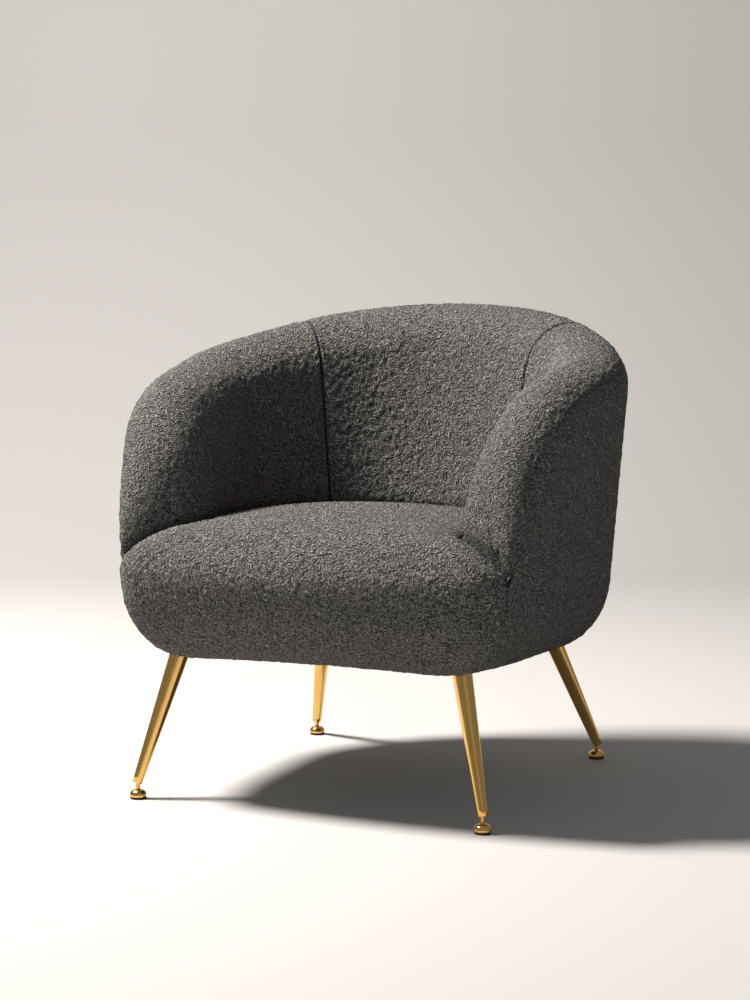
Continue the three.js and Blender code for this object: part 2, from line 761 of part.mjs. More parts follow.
// A wire of round section through points, its section set square to the path.
function wire(points, radius, sides) {
  const rows = points.map((p, i) => {
    const before = points[Math.max(0, i - 1)];
    const after = points[Math.min(points.length - 1, i + 1)];
    const along = new THREE.Vector3().subVectors(after, before).normalize();
    const across = new THREE.Vector3(0, 0, 1).cross(along).normalize();
    const up = new THREE.Vector3().crossVectors(along, across);
    return spread(0, 2 * Math.PI, sides).slice(1).map((a) => {
      return p.clone().addScaledVector(across, radius * Math.cos(a)).addScaledVector(up, radius * Math.sin(a));
    });
  });
  return loft(rows);
}

// Sinuous springs that arch from the front rail to the rear rail.
function makeSprings() {
  const frontEnd = springLap - frameDepthAt(-1) + noseDepth;
  const rearRadius = backArcRadius - frameDepthAt(1) + springLap;
  for (let i = 0; i < springCount; i++) {
    const x = (i - (springCount - 1) / 2) * springSpacing;
    const rearEnd = backDepth - backArcRadius + Math.sqrt(rearRadius ** 2 - x * x);
    const steps = Math.round((4 * (rearEnd + frontEnd)) / springPeriod);
    const points = spread(-frontEnd, rearEnd, steps).map((y, step) => {
      const turn = ((step + 0.5) * Math.PI) / 2;
      const rise = springArch * Math.sin((Math.PI * step) / steps);
      const rest = railTopHeight + touchGap + springWire / 2;
      return new THREE.Vector3(x + springHalfWidth * Math.SQRT2 * Math.sin(turn), y, rest + rise);
    });
    addSteel("spring_" + (i + 1), wire(points, springWire / 2, springSides));
  }
}

// How far inside the outline the rails' inner face stands, at the front (-1) or the back (1).
const frameDepthAt = (ny) => -railInside({ ny });

// A leg's axis: its foot, its direction, and its radius along the way.
function legAxis(foot, top) {
  const crossing = new THREE.Vector3(foot.x, foot.y, legEndHeight + studCrossing);
  const high = new THREE.Vector3(top.x, top.y, undersideHeight);
  const along = new THREE.Vector3().subVectors(high, crossing).normalize();
  const at = (z) => crossing.clone().addScaledVector(along, (z - crossing.z) / along.z);
  const end = at(legEndHeight);
  const whole = end.distanceTo(high);
  const radiusAt = (run) => lerp(legBottomDiameter, legTopDiameter, run / whole) / 2;
  return { foot, along, at, end, whole, radiusAt };
}

// A tapered body along a leg's axis between two distances from its end, with an optional bore.
function alongLeg(axis, from, to, outset, boreInset) {
  const outer = [from, to].map((run) => [axis.radiusAt(run) + outset, run]);
  const inner = [from, to].map((run) => [boreInset === null ? 0 : axis.radiusAt(run) - boreInset, run]);
  const profile = boreInset === null ? [inner[0], ...outer, inner[1]] : [...outer, ...inner.reverse(), outer[0]];
  const turn = new THREE.Quaternion().setFromUnitVectors(new THREE.Vector3(0, 0, 1), axis.along);
  const body = turned(profile, legSides, 0, 0).applyQuaternion(turn);
  return solidFrom(body.translate(axis.end.x, axis.end.y, axis.end.z));
}

function makeLeg(name, axis) {
  const past = (cutOverrun + plateHeight - undersideHeight) / axis.along.z;
  const tube = alongLeg(axis, 0, axis.whole + past, 0, legWall);
  addBrass("leg_" + name, geometryFrom(tube.trimByPlane([0, 0, -1], touchGap - plateHeight)));

  const top = axis.at(plateHeight);
  const holeRadius = boltDiameter / 2 + touchGap;
  const plateTop = plateHeight + plateThickness;
  const disc = [[holeRadius, plateHeight], [plateDiameter / 2, plateHeight], [plateDiameter / 2, plateTop]];
  addSteel("leg_plate_" + name, turned([...disc, [holeRadius, plateTop], disc[0]], legSides, top.x, top.y));

  const headTop = plateHeight - touchGap;
  const headRadius = boltHeadDiameter / 2;
  const head = [[0, headTop - boltHeadHeight], [headRadius, headTop - boltHeadHeight], [headRadius, headTop]];
  const shank = [[boltDiameter / 2, headTop], [boltDiameter / 2, plateTop + boltReach], [0, plateTop + boltReach]];
  addSteel("leg_bolt_" + name, turned([...head, ...shank], legSides / 2, top.x, top.y));

  const middle = new THREE.Vector2(top.x, top.y);
  middle.setLength(middle.length() - blockShift);
  const corner = new THREE.Vector3(blockSide / 2, blockSide / 2, 0);
  const from = new THREE.Vector3(middle.x, middle.y, railBottomHeight).sub(corner);
  const to = new THREE.Vector3(middle.x, middle.y, railBottomHeight + blockHeight).add(corner);
  const holeTop = plateTop + boltReach + touchGap;
  const bottom = railBottomHeight - cutOverrun;
  const hole = [[0, bottom], [holeRadius, bottom], [holeRadius, holeTop], [0, holeTop]];
  const drill = solidFrom(turned(hole, legSides / 2, top.x, top.y));
  const block = boxSolid(from, to).intersect(insideRails(touchGap)).subtract(drill);
  addWood("corner_block_" + name, geometryFrom(block));
}

// A levelling foot: pad and bell dome on an upright stud that is screwed into a slug in the leg's end.
function makeFoot(name, axis) {
  const { x, y } = axis.foot;
  const domeBottom = footPadHeight + touchGap;
  const domeTop = domeBottom + footDomeHeight;
  const studTop = legEndHeight + studCrossing + studReach;
  const studBottom = domeTop - studSeatDepth + touchGap;
  const studRadius = studDiameter / 2;
  const holeRadius = studRadius + touchGap;
  const hole = [[0, 0], [holeRadius, 0], [holeRadius, studTop + touchGap], [0, studTop + touchGap]];
  const plug = alongLeg(axis, 0, plugLength, -legWall - touchGap, null);
  const drill = solidFrom(turned(hole, footSides, x, y));
  addSteel("foot_plug_" + name, geometryFrom(plug.subtract(drill)));

  const stud = [[0, studBottom], [studRadius, studBottom], [studRadius, studTop], [0, studTop]];
  addBrass("foot_stud_" + name, turned(stud, footSides, x, y));

  const rim = footDiameter / 2;
  const neck = footNeckDiameter / 2;
  const shoulder = domeBottom + footDomeEdge;
  const bell = spread(0, Math.PI / 2, footDomeSteps).map((a) => {
    return [lerp(neck, rim, Math.cos(a)), lerp(shoulder, domeTop, Math.sin(a))];
  });
  const socket = [[holeRadius, domeTop], [holeRadius, domeTop - studSeatDepth], [0, domeTop - studSeatDepth]];
  const dome = [[0, domeBottom], [rim, domeBottom], ...bell, ...socket];
  addBrass("foot_dome_" + name, turned(dome, footSides, x, y));

  const padRadius = rim - footPadInset;
  const pad = [[0, 0], [padRadius, 0], [padRadius, footPadHeight], [0, footPadHeight]];
  addMesh("foot_pad_" + name, turned(pad, footSides, x, y), colours.rubber, 0.8, 0);
}

// The thin cloth that closes the underside inside the covers' lips.
function makeDustCloth() {
  const top = undersideHeight - touchGap;
  const bottom = top - dustClothThickness;
  const inside = hemTuck + coverLip - dustClothLap;
  const edge = (z) => (p) => offsetPoint(p, faceLean(p.ny, undersideHeight + hemRise) - inside, z);
  const cloth = puck([edge(bottom), edge(top)], new THREE.Vector3(0, 0, top), new THREE.Vector3(0, 0, bottom));
  addMesh("dust_cloth", cloth, colours.cloth, 0.95, 0);
}

// A place in plan, set in from the barrel's side and from its nose or its back.
const placeIn = (hand, inset, end) => ({ x: hand * (halfWidth - inset.side), y: end - Math.sign(end) * inset.end });
const frontLeg = (hand) => legAxis(placeIn(hand, frontFootInset, -noseDepth), placeIn(hand, frontTopInset, -noseDepth));
const rearLeg = (hand) => legAxis(placeIn(hand, rearFootInset, backDepth), placeIn(hand, rearTopInset, backDepth));
const legs = {
  front_left: frontLeg(-1),
  front_right: frontLeg(1),
  rear_left: rearLeg(-1),
  rear_right: rearLeg(1),
};

makeUpholstery(Object.values(legs).map((axis) => alongLeg(axis, 0, axis.whole + hemRise / 4, legHoleClearance, null)));
makeRails();
makeWallFrame();
makeSprings();
makeDustCloth();
for (const [name, axis] of Object.entries(legs)) {
  makeLeg(name, axis);
  makeFoot(name, axis);
}

// The origin lies in the middle of the chair's depth.
const depthRange = new THREE.Box3().setFromObject(chair);
chair.position.y = -(depthRange.min.y + depthRange.max.y) / 2;

export default root;
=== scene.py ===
import math

import bmesh
import bpy
import numpy as np
from bpy.props import FloatProperty, FloatVectorProperty, IntProperty, PointerProperty
from mathutils import Matrix, Vector
from mathutils.bvhtree import BVHTree


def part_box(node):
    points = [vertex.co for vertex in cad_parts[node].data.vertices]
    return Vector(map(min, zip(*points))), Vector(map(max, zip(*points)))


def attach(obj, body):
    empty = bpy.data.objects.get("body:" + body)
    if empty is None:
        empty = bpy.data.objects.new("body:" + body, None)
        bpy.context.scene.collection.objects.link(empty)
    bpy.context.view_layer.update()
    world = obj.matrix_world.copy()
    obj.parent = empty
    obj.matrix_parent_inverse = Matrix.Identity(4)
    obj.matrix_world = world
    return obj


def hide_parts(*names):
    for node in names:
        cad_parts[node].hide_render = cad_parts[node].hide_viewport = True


bl_info = {
    "name": "Tub chair",
    "version": (1, 0, 0),
    "blender": (4, 5, 0),
    "location": "3D View > Sidebar > Tub chair",
    "description": "Dresses the frame of a tub chair in curly cloth, padding and turned brass",
    "category": "Add Mesh",
}

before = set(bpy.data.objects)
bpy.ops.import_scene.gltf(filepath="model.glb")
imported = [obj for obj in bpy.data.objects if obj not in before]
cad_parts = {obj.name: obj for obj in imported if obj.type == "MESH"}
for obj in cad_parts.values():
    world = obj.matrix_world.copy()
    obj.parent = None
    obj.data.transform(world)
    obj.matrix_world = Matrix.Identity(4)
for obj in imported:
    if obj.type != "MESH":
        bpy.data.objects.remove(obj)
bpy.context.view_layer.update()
corners = ("front_left", "front_right", "rear_left", "rear_right")
front_foot_end = 0.062
surface_step = 0.0046


# Kinds of sizes that a user may change


def length(name, default, description):
    """A length in metres."""
    kind = {"unit": "LENGTH", "subtype": "DISTANCE"}
    return FloatProperty(name=name, description=description, default=default, **kind)


def turn(name, degrees, description):
    """An angle, written here in degrees."""
    return FloatProperty(name=name, description=description, default=math.radians(degrees), subtype="ANGLE")


def share(name, default, description):
    """A plain number between nought and one, or a little over."""
    return FloatProperty(name=name, description=description, default=default, subtype="FACTOR")


def number(name, default, description):
    """A plain number."""
    return FloatProperty(name=name, description=description, default=default)


def count(name, default, description):
    """How many there are of something."""
    return IntProperty(name=name, description=description, default=default)


def colour(name, default, description):
    """A colour, in linear light."""
    return FloatVectorProperty(name=name, description=description, default=default, size=3, subtype="COLOR")


def middle_of(node):
    """The middle of a frame node's box."""
    low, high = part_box(node)
    return [(a + b) / 2 for a, b in zip(low, high)]


class BarrelSizes(bpy.types.PropertyGroup):
    """The barrel of back and arms, in plan and in height"""

    half_width: length("Half width", 0.348, "From the middle to the outline's side")
    back_depth: length("Back depth", 0.334, "From the middle to the outline's back")
    nose_depth: length("Nose depth", 0.333, "From the middle to the bowed front")
    arm_front_depth: length("Arm front depth", 0.263, "From the middle to the front of the arms")
    back_radius: length("Back radius", 0.355, "Radius of the outline's wide back arc")
    corner_radius: length("Corner radius", 0.185, "Radius of the outline's rear corners")
    front_radius: length("Front radius", 1.36, "Radius of the bowed front")
    side_toe: turn("Side toe", 3.2, "How far the sides turn in towards the front")
    front_turn: turn("Front turn", 15, "How far the arms' fronts curl in")
    front_turn_length: length("Front turn length", 0.15, "Length over which the arms' fronts curl in")
    underside: length("Underside", 0.208, "Height of the hem's underside")
    rim_height: length("Rim height", float(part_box("inside_back")[1][2]), "Height of the rim at the back")
    rim_seam_drop: length("Rim drop", 0.028, "How far the rim falls from the middle to its seams")
    arm_height: length("Arm height", 0.58, "Height to which the arms' slope runs at the front")
    arm_tip_height: length("Arm tip height", 0.36, "Height of the lower end of the arms' fronts")
    shoulder_length: length("Shoulder length", 0.198, "Length of the arms' rounded shoulder")
    shoulder_power: number("Shoulder power", 2.5, "Squareness of the arms' shoulder")
    girth_height: length("Girth height", 0.45, "Height at which the outline is measured")
    side_lean: share("Side lean", 0.104, "Outward lean of the sides")
    back_lean: share("Back lean", 0.035, "Outward lean of the back")
    hem_rise: length("Hem rise", 0.098, "Height of the rounded hem")
    hem_tuck: length("Hem tuck", 0.08, "How far the hem tucks in")
    wall: length("Wall", 0.119, "Thickness of the padded wall")
    inside_arm_lean: share("Inside arm lean", 0.14, "Lean of the arms' inside faces")
    inside_back_lean: share("Inside back lean", 0.2, "Lean of the back's inside face")
    panel_seam: length("Panel seam", 0.285, "Station of the seams between back and arms")
    square_height: length("Square height", 0.52, "Height under which the arms' fronts grow squarer")
    square_power: number("Square power", 14, "Squareness that the arms' fronts gain at their tips")


class PaddingSizes(bpy.types.PropertyGroup):
    """The pads and the outside cover on the barrel"""

    thickness: length("Pad thickness", 0.034, "Thickness of the inside pads")
    top_thickness: length("Top thickness", 0.052, "Thickness of the pads over the top rails")
    bottom: length("Pad bottom", float(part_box("inside_back")[0][2]), "Height of the pads' lower edge")
    cover: length("Cover thickness", 0.005, "Thickness of the outside cover with its wadding")
    shell: length("Shell", 0.0095, "Depth of cover and board together")
    lip: length("Cover lip", 0.034, "Width of the cover's lip under the hem")
    seam_drop: length("Seam drop", 0.026, "How far under the rim the cover's seam runs")
    tip_height: length("Cover tip", 0.33, "Height of the cover's seam at the arms' fronts")
    front_tuck: length("Front tuck", 0.08, "Length over which the pads tuck in lower at the arms' fronts")
    gap: length("Seam gap", 0.0003, "Room between two covers at a seam")
    panel_seam_roll: length("Panel seam roll", 0.0055, "Radius of the pads' edges at the seams in the rim")
    cover_seam_roll: length("Cover seam roll", 0.0006, "Radius of the edges at the seam under the rim")
    side_seam_roll: length("Side seam roll", 0.002, "Radius of the cover's edges at the arms' fronts")
    puff: length("Puff", 0.0025, "How far a pad may swell under its cloth")
    crease: length("Crease", 0.018, "Width of the band that rolls in where the pads meet the seat")
    crease_depth: length("Crease depth", 0.006, "How far the pads roll in there")
    seam_rows: count("Seam rows", 3, "Rows of points by the cover's seam that stay as they are")
    # Painted shade: beside a crease the colour is painted dark over this width, and the curls lie flat there
    # too.
    crease_line: length("Crease line", 0.007, "Width beside a crease over which the pile lies flat and dark")


class SeatSizes(bpy.types.PropertyGroup):
    """The crowned seat and its rolled front"""

    wall_height: length("Wall height", 0.389, "Height of the seat where it meets the pads")
    crown: length("Crown", 0.03, "Rise of the seat's middle")
    crown_depth: length("Crown depth", 0.08, "How far the crown's top lies before the middle")
    crown_reach: length("Crown reach", 0.265, "Half length of the crown")
    crown_half_width: length("Crown half width", 0.285, "Half width of the crown")
    edge_height: length("Edge height", 0.33, "Height at which the front edge starts to roll")
    edge_roll: length("Edge roll", 0.097, "Depth of the rolled front edge")
    border: length("Border", 0.026, "Thickness of the seat's upright border")
    lip: length("Lip", 0.008, "Thickness of the seat's lip under the hem")
    hollow_top: length("Hollow top", 0.3137, "Height of the room for springs under the seat")
    voxel: length("Cloth cell", 0.0045, "Fineness of the seat's remeshed cloth")
    puff: length("Puff", 0.003, "How far the seat may swell under its cloth")
    crease: length("Crease", 0.024, "Width of the band that rolls into the crease along the pads")
    crease_depth: length("Crease depth", 0.009, "How far the seat rolls down there")


class LegSizes(bpy.types.PropertyGroup):
    """The tapered legs and their levelling feet"""

    front_top_side: length("Front top, side", 0.127, "From the barrel's side to the top of a front leg")
    front_top_end: length("Front top, end", 0.103, "From the nose to the top of a front leg")
    rear_top_side: length("Rear top, side", 0.157, "From the barrel's side to the top of a rear leg")
    rear_top_end: length("Rear top, end", 0.136, "From the back to the top of a rear leg")
    top_diameter: length("Top diameter", 0.028, "Diameter of a leg at the hem")
    bottom_diameter: length("Bottom diameter", 0.015, "Diameter of a leg at its lower end")
    wall: length("Tube wall", 0.001, "Wall of the tapered tube")
    top_extra: length("Top extra", 0.019, "How far the tube runs on above the hem's height")
    end_height: length("End height", 0.023, "Height of a leg's lower end")
    crossing: length("Stud crossing", 0.004, "How far inside the leg its axis meets the stud's")
    edge: length("Edge radius", 0.0004, "Rounding of the tube's edges")


class FootSizes(bpy.types.PropertyGroup):
    """The bell, pad and stud of a levelling foot"""

    diameter: length("Foot diameter", 0.025, "Diameter of the bell")
    pad_height: length("Pad height", 0.003, "Thickness of the glide pad")
    bell_height: length("Bell height", 0.01, "Height of the bell")
    bell_edge: length("Bell edge", 0.002, "Height of the bell's straight edge")
    neck: length("Neck", 0.01, "Diameter of the bell's neck")
    bell_rounding: length("Bell rounding", 0.0006, "Rounding of the bell's lower edge")
    pad_inset: length("Pad inset", 0.001, "From the bell's edge in to the glide pad's")
    pad_rounding: length("Pad rounding", 0.0006, "Rounding of the glide pad's lower edge")
    hole_depth: length("Hole depth", 0.005, "How deep the stud's hole goes into the bell")
    edge: length("Edge", 0.0004, "Bevel of the small upper edges")
    stud: length("Stud", 0.006, "Diameter of the threaded stud")
    pitch: length("Thread pitch", 0.001, "Pitch of the stud's thread")
    thread_turns: count("Thread turns", 14, "How many turns of thread show")
    ridge: share("Thread ridge", 0.22, "Half width of the thread's crest, as a share of its pitch")


class HiddenSizes(bpy.types.PropertyGroup):
    """The bands up the back, the thin cloth under the chair and its staples"""

    band_count: count("Bands", 3, "How many bands run up the back")
    band_width: length("Band width", 0.05, "Width of a band")
    band_spacing: length("Band spacing", 0.122, "From the middle of a band to the next")
    band_thickness: length("Band thickness", 0.0018, "Thickness of a band")
    band_rise: length("Band rise", 0.004, "From the pads' lower edge to the bands' lower ends")
    band_drop: length("Band drop", 0.006, "From the pads' hollow to the bands' upper ends")
    lining_lap: length("Lining lap", 0.014, "How far the thin cloth laps over the covers' lips")
    lining_thickness: length("Lining thickness", 0.0006, "Thickness of the thin cloth")
    lining_sag: length("Lining sag", 0.003, "How far the thin cloth sags in its middle")
    staple_spacing: length("Staple spacing", 0.045, "From staple to staple")
    staple_length: length("Staple length", 0.011, "Length of a staple's back")
    staple_wire: length("Staple wire", 0.0009, "Thickness of a staple's wire")
    staple_inset: length("Staple inset", 0.007, "From the thin cloth's edge to its staples")


class ClothLooks(bpy.types.PropertyGroup):
    """The curly cloth"""

    spacing: length("Curl spacing", 0.0037, "From crest to crest of the curls")
    relief: length("Relief", 0.0011, "How far the clumps of curls stand out")
    winding: number("Winding", 1.9, "How often a curl turns back over one clump")
    bump: length("Curl height", 0.013, "Height of the single curls")
    crest: colour("Crest", (0.225, 0.214, 0.2), "Colour of the curls' crests")
    # Painted shade: the colour between the curls is darker, standing in for the shade that falls among them.
    crevice: colour("Crevice", (0.024, 0.0223, 0.0205), "Colour between the curls")
    # Painted shade: this near-black colour is painted into seams and creases, where shade falls.
    seam: colour("Seam", (0.006, 0.0056, 0.0052), "Colour of the flattened pile in seams and creases")


class StageSizes(bpy.types.PropertyGroup):
    """Floor, lamps and camera"""

    azimuth: turn("Camera azimuth", 24.235, "Turn of the camera round the chair")
    elevation: turn("Camera elevation", 5.276, "Height of the camera as an angle")
    distance: length("Camera distance", 3.529, "From the camera to its target")
    target_height: length("Target height", 0.36, "Height of the place that the camera turns round")
    target_right: length("Target right", -0.0127, "Shift of the target to the right of the view")
    target_up: length("Target up", 0.061, "Shift of the target upwards in the view")
    lens: number("Lens", 85.14, "Focal length of the camera in millimetres")
    floor: colour("Floor colour", (0.45, 0.44, 0.43), "Colour of floor and backdrop")


# Where places on the barrel come from


def lerp(a, b, t):
    """The value that lies a share t of the way from a to b."""
    return a + (b - a) * t


class Barrel:
    """Places on the barrel, given by a station along its outline, an offset outwards and a height"""

    rim_samples = 1200

    def __init__(self, sizes, padding, seat):
        self.b = sizes
        self.p = padding
        self.s = seat
        b = sizes
        self.back_sweep = math.asin((b.half_width - b.corner_radius) / (b.back_radius - b.corner_radius))
        self.back_length = b.back_radius * self.back_sweep
        self.side_angle = math.pi / 2 + b.side_toe
        self.corner_length = b.corner_radius * (self.side_angle - self.back_sweep)
        apart = b.back_radius - b.corner_radius
        self.corner_x = apart * math.sin(self.back_sweep)
        self.corner_y = b.back_depth - b.back_radius + apart * math.cos(self.back_sweep)
        self.side_x = self.corner_x + b.corner_radius * math.sin(self.side_angle)
        self.side_y = self.corner_y + b.corner_radius * math.cos(self.side_angle)
        self.side_length = (self.side_y + b.arm_front_depth) / math.cos(b.side_toe)
        self.arm_station = self.back_length + self.corner_length + self.side_length
        foot_y = middle_of("foot_pad_front_left")[1]
        self.shift_y = foot_y + b.nose_depth - front_foot_end
        spaced = np.linspace(0, 1, self.rim_samples)
        even = spaced * self.arm_station
        near_front = self.arm_station - b.shoulder_length * spaced**b.shoulder_power
        stations = np.sort(np.concatenate([even, near_front]))
        self.rim_s = stations
        self.rim_z = self.rim(stations)

    def outline(self, station):
        """Plan points and outward normals at stations, as four arrays."""
        b = self.b
        s = np.abs(station)
        hand = np.where(np.asarray(station) < 0, -1.0, 1.0)
        on_back = s <= self.back_length
        on_corner = s <= self.back_length + self.corner_length
        back_angle = s / b.back_radius
        corner_angle = self.back_sweep + (s - self.back_length) / b.corner_radius
        run = s - self.back_length - self.corner_length
        turning = np.clip(run - (self.side_length - b.front_turn_length), 0, None) / b.front_turn_length
        side_angle = self.side_angle + b.front_turn * turning
        bend = b.front_turn * b.front_turn_length * turning**2 / 2
        side_x = self.side_x - math.sin(b.side_toe) * run - bend
        side_y = self.side_y - math.cos(b.side_toe) * run
        back_y = b.back_depth - b.back_radius + b.back_radius * np.cos(back_angle)
        corner_x = self.corner_x + b.corner_radius * np.sin(corner_angle)
        corner_y = self.corner_y + b.corner_radius * np.cos(corner_angle)
        choose = [on_back, on_corner]
        x = np.select(choose, [b.back_radius * np.sin(back_angle), corner_x], side_x)
        y = np.select(choose, [back_y, corner_y], side_y)
        angle = np.select(choose, [back_angle, corner_angle], side_angle)
        return hand * x, y, hand * np.sin(angle), np.cos(angle)

    def rim(self, station):
        """Height of the rim at stations."""
        b = self.b
        s = np.abs(station)
        at_back = b.rim_height - b.rim_seam_drop * (s / b.panel_seam) ** 2
        to_front = np.clip(self.arm_station - s, 0, None)
        along = to_front / (self.arm_station - b.panel_seam)
        slope = lerp(b.arm_height, b.rim_height - b.rim_seam_drop, along)
        shoulder = np.minimum(1, to_front / b.shoulder_length)
        rise = (1 - (1 - shoulder) ** b.shoulder_power) ** (1 / b.shoulder_power)
        return np.where(s <= b.panel_seam, at_back, lerp(b.arm_tip_height, slope, rise))

    def edge_distance(self, station, z):
        """Distance from places on the wall's middle sheet to the sheet's rounded edge."""
        s, z = np.broadcast_arrays(np.abs(station), z)
        best = np.where(z < self.b.arm_tip_height, self.arm_station - s, np.inf).ravel()
        flat_s = s.ravel()
        flat_z = z.ravel()
        batch = 4000
        for start in range(0, flat_s.size, batch):
            part = slice(start, start + batch)
            ds = flat_s[part, None] - self.rim_s[None, :]
            dz = flat_z[part, None] - self.rim_z[None, :]
            best[part] = np.minimum(best[part], np.sqrt((ds * ds + dz * dz).min(axis=1)))
        return np.clip(best, 0, None).reshape(s.shape)

    def half_thickness(self, station, z, power):
        """Half the wall's thickness, with a full roll of the given squareness along its edge."""
        half = self.b.wall / 2
        in_from_edge = np.clip(1 - self.edge_distance(station, z) / half, 0, 1)
        return half * (1 - in_from_edge**power) ** (1 / power)

    def face_lean(self, normal_y, z):
        """How far the outer face stands out: its lean and its rounded hem."""
        b = self.b
        lean = lerp(b.side_lean, b.back_lean, np.clip(normal_y, 0, None))
        in_hem = np.clip((b.underside + b.hem_rise - z) / b.hem_rise, 0, 1)
        return lean * (z - b.girth_height) - b.hem_tuck * (1 - np.sqrt(1 - in_hem * in_hem))

    def outer_offset(self, station, z):
        """Offset of the wall's outer face."""
        b = self.b
        ny = self.outline(station)[3]
        down = np.clip((b.square_height - z) / (b.square_height - self.p.tip_height), 0, 1)
        power = 2 + b.square_power * down**3
        return self.half_thickness(station, z, power) - b.wall / 2 + self.face_lean(ny, z)

    def inner_lean(self, station, z):
        """Offset that the wall's inner face has from its lean alone."""
        b = self.b
        ny = self.outline(station)[3]
        rim = self.rim(station)
        lean = lerp(b.inside_arm_lean, b.inside_back_lean, np.clip(ny, 0, None))
        return self.face_lean(ny, rim) - lean * np.clip(rim - z, 0, None)

    def inner_offset(self, station, z):
        """Offset of the wall's inner face, which meets the outer face all along the rounded edge."""
        half = self.b.wall / 2
        middle = self.face_lean(self.outline(station)[3], z) - half
        full = middle - self.inner_lean(station, z) + 2 * half
        roll = self.half_thickness(station, z, 2) / half
        squareness = self.outer_offset(station, z) - middle - half * roll
        return middle - full * roll + squareness * (1 - roll)

    def hollow_offset(self, station, z):
        """Offset of the pads' hidden face, towards the frame."""
        return self.inner_lean(station, z) - self.b.wall + self.p.thickness

    def place(self, station, offset, z):
        """Points in space, as an array with a last axis of three."""
        x, y, nx, ny = self.outline(station)
        x, y, z = np.broadcast_arrays(x + nx * offset, y + ny * offset + self.shift_y, z)
        return np.stack([x, y, z], axis=-1)

    def seam_height(self, station):
        """Height of the seam between the outside cover and the pads."""
        p = self.p
        halvings = 60
        to_front = self.arm_station - np.abs(station)
        near = np.minimum(np.abs(station), self.arm_station - 2 * p.seam_drop)
        z = self.rim(near) - p.seam_drop
        for _ in range(halvings):
            short = p.seam_drop - self.edge_distance(near, z)
            z = np.where(short > 0, z - short / 2, z)
        return lerp(p.tip_height, z, np.clip(to_front / (2 * p.seam_drop), 0, 1))

    def front_outline(self, step):
        """The bowed front's right half, from the arm's front to the middle, with normals that turn evenly."""
        b = self.b
        x, y, nx, ny = (float(v) for v in self.outline(self.arm_station))
        centre_y = b.front_radius - b.nose_depth
        away = (x, y - centre_y)
        across = away[0] * nx + away[1] * ny
        radius = (b.front_radius**2 - away[0] ** 2 - away[1] ** 2) / (2 * (b.front_radius - across))
        hub_x = x - radius * nx
        hub_y = y - radius * ny
        start = math.atan2(ny, nx)
        join = math.atan2(hub_y - centre_y, hub_x)
        corner_steps = max(2, round(radius * abs(join - start) / step))
        bow_steps = max(2, round(b.front_radius * abs(join + math.pi / 2) / step))
        corner = np.linspace(start, join, corner_steps + 1)
        bow = np.linspace(join, -math.pi / 2, bow_steps + 1)[1:]
        px = np.concatenate([hub_x + radius * np.cos(corner), b.front_radius * np.cos(bow)])
        py = np.concatenate([hub_y + radius * np.sin(corner), centre_y + b.front_radius * np.sin(bow)])
        runs = np.concatenate([[0], np.cumsum(np.hypot(np.diff(px), np.diff(py)))])
        angle = lerp(start, -math.pi / 2, runs / runs[-1])
        return np.stack([px, py, np.cos(angle), np.sin(angle)])[:, 1:]

    def closed_outline(self, step):
        """The whole outline, anticlockwise seen from below, as rows x, y, nx, ny."""
        fewest = 4
        sides = max(fewest, round(self.arm_station / step))
        side = np.stack(self.outline(np.linspace(0, self.arm_station, sides + 1)))
        right = np.concatenate([side, self.front_outline(step)], axis=1)
        left = right[:, 1:-1][:, ::-1] * np.array([[-1], [1], [-1], [1]])
        return np.concatenate([right, left], axis=1)


# Meshes


def new_piece(name, points, faces):
    """A smooth-shaded mesh object in the scene."""
    mesh = bpy.data.meshes.new(name)
    mesh.from_pydata(np.asarray(points).reshape(-1, 3).tolist(), [], faces)
    mesh.update()
    piece = bpy.data.objects.new(name, mesh)
    bpy.context.scene.collection.objects.link(piece)
    mesh.shade_smooth()
    return piece


def grid_faces(columns, around):
    """Quads between neighbouring loops of equally many points."""
    faces = []
    for i in range(columns - 1):
        here = i * around
        there = here + around
        for j in range(around):
            k = (j + 1) % around
            faces.append((here + j, here + k, there + k, there + j))
    return faces


def closed_tube(name, loops):
    """A closed body through loops of equally many points, with flat ends."""
    columns, around = loops.shape[:2]
    faces = grid_faces(columns, around)
    faces.append(tuple(range(around))[::-1])
    faces.append(tuple((columns - 1) * around + j for j in range(around)))
    piece = new_piece(name, loops, faces)
    tidy(piece)
    return piece


def tidy(piece, merge=0):
    """Merges doubles nearer than a length, splits large faces and turns all faces outwards."""
    bm = bmesh.new()
    bm.from_mesh(piece.data)
    if merge:
        bmesh.ops.remove_doubles(bm, verts=bm.verts, dist=merge)
    bmesh.ops.triangulate(bm, faces=[f for f in bm.faces if len(f.verts) > 4])
    bmesh.ops.recalc_face_normals(bm, faces=bm.faces)
    bm.to_mesh(piece.data)
    bm.free()
    piece.data.shade_smooth()


def puck(name, rings, top, bottom):
    """A closed body from rings of equally many points, with a pole at each end."""
    rings = np.asarray(rings)
    count_rings, around = rings.shape[:2]
    faces = grid_faces(count_rings, around)
    top_index = count_rings * around
    last = (count_rings - 1) * around
    for j in range(around):
        k = (j + 1) % around
        faces.append((top_index + 1, k, j))
        faces.append((top_index, last + j, last + k))
    points = np.concatenate([rings.reshape(-1, 3), [top], [bottom]])
    piece = new_piece(name, points, faces)
    tidy(piece)
    return piece


def read_points(mesh, kind="co"):
    """A mesh's points, or with the kind normal the normals there, as an array."""
    flat = np.empty(len(mesh.vertices) * 3, dtype=np.float32)
    mesh.vertices.foreach_get(kind, flat)
    return flat.reshape(-1, 3)


def write_points(mesh, points):
    """Sets a mesh's points from an array."""
    mesh.vertices.foreach_set("co", np.ascontiguousarray(points, dtype=np.float32).ravel())
    mesh.update()


def settle(piece):
    """Applies all modifiers of a piece to its mesh."""
    depsgraph = bpy.context.evaluated_depsgraph_get()
    finished = bpy.data.meshes.new_from_object(piece.evaluated_get(depsgraph), depsgraph=depsgraph)
    piece.modifiers.clear()
    piece.data = finished
    finished.name = piece.name


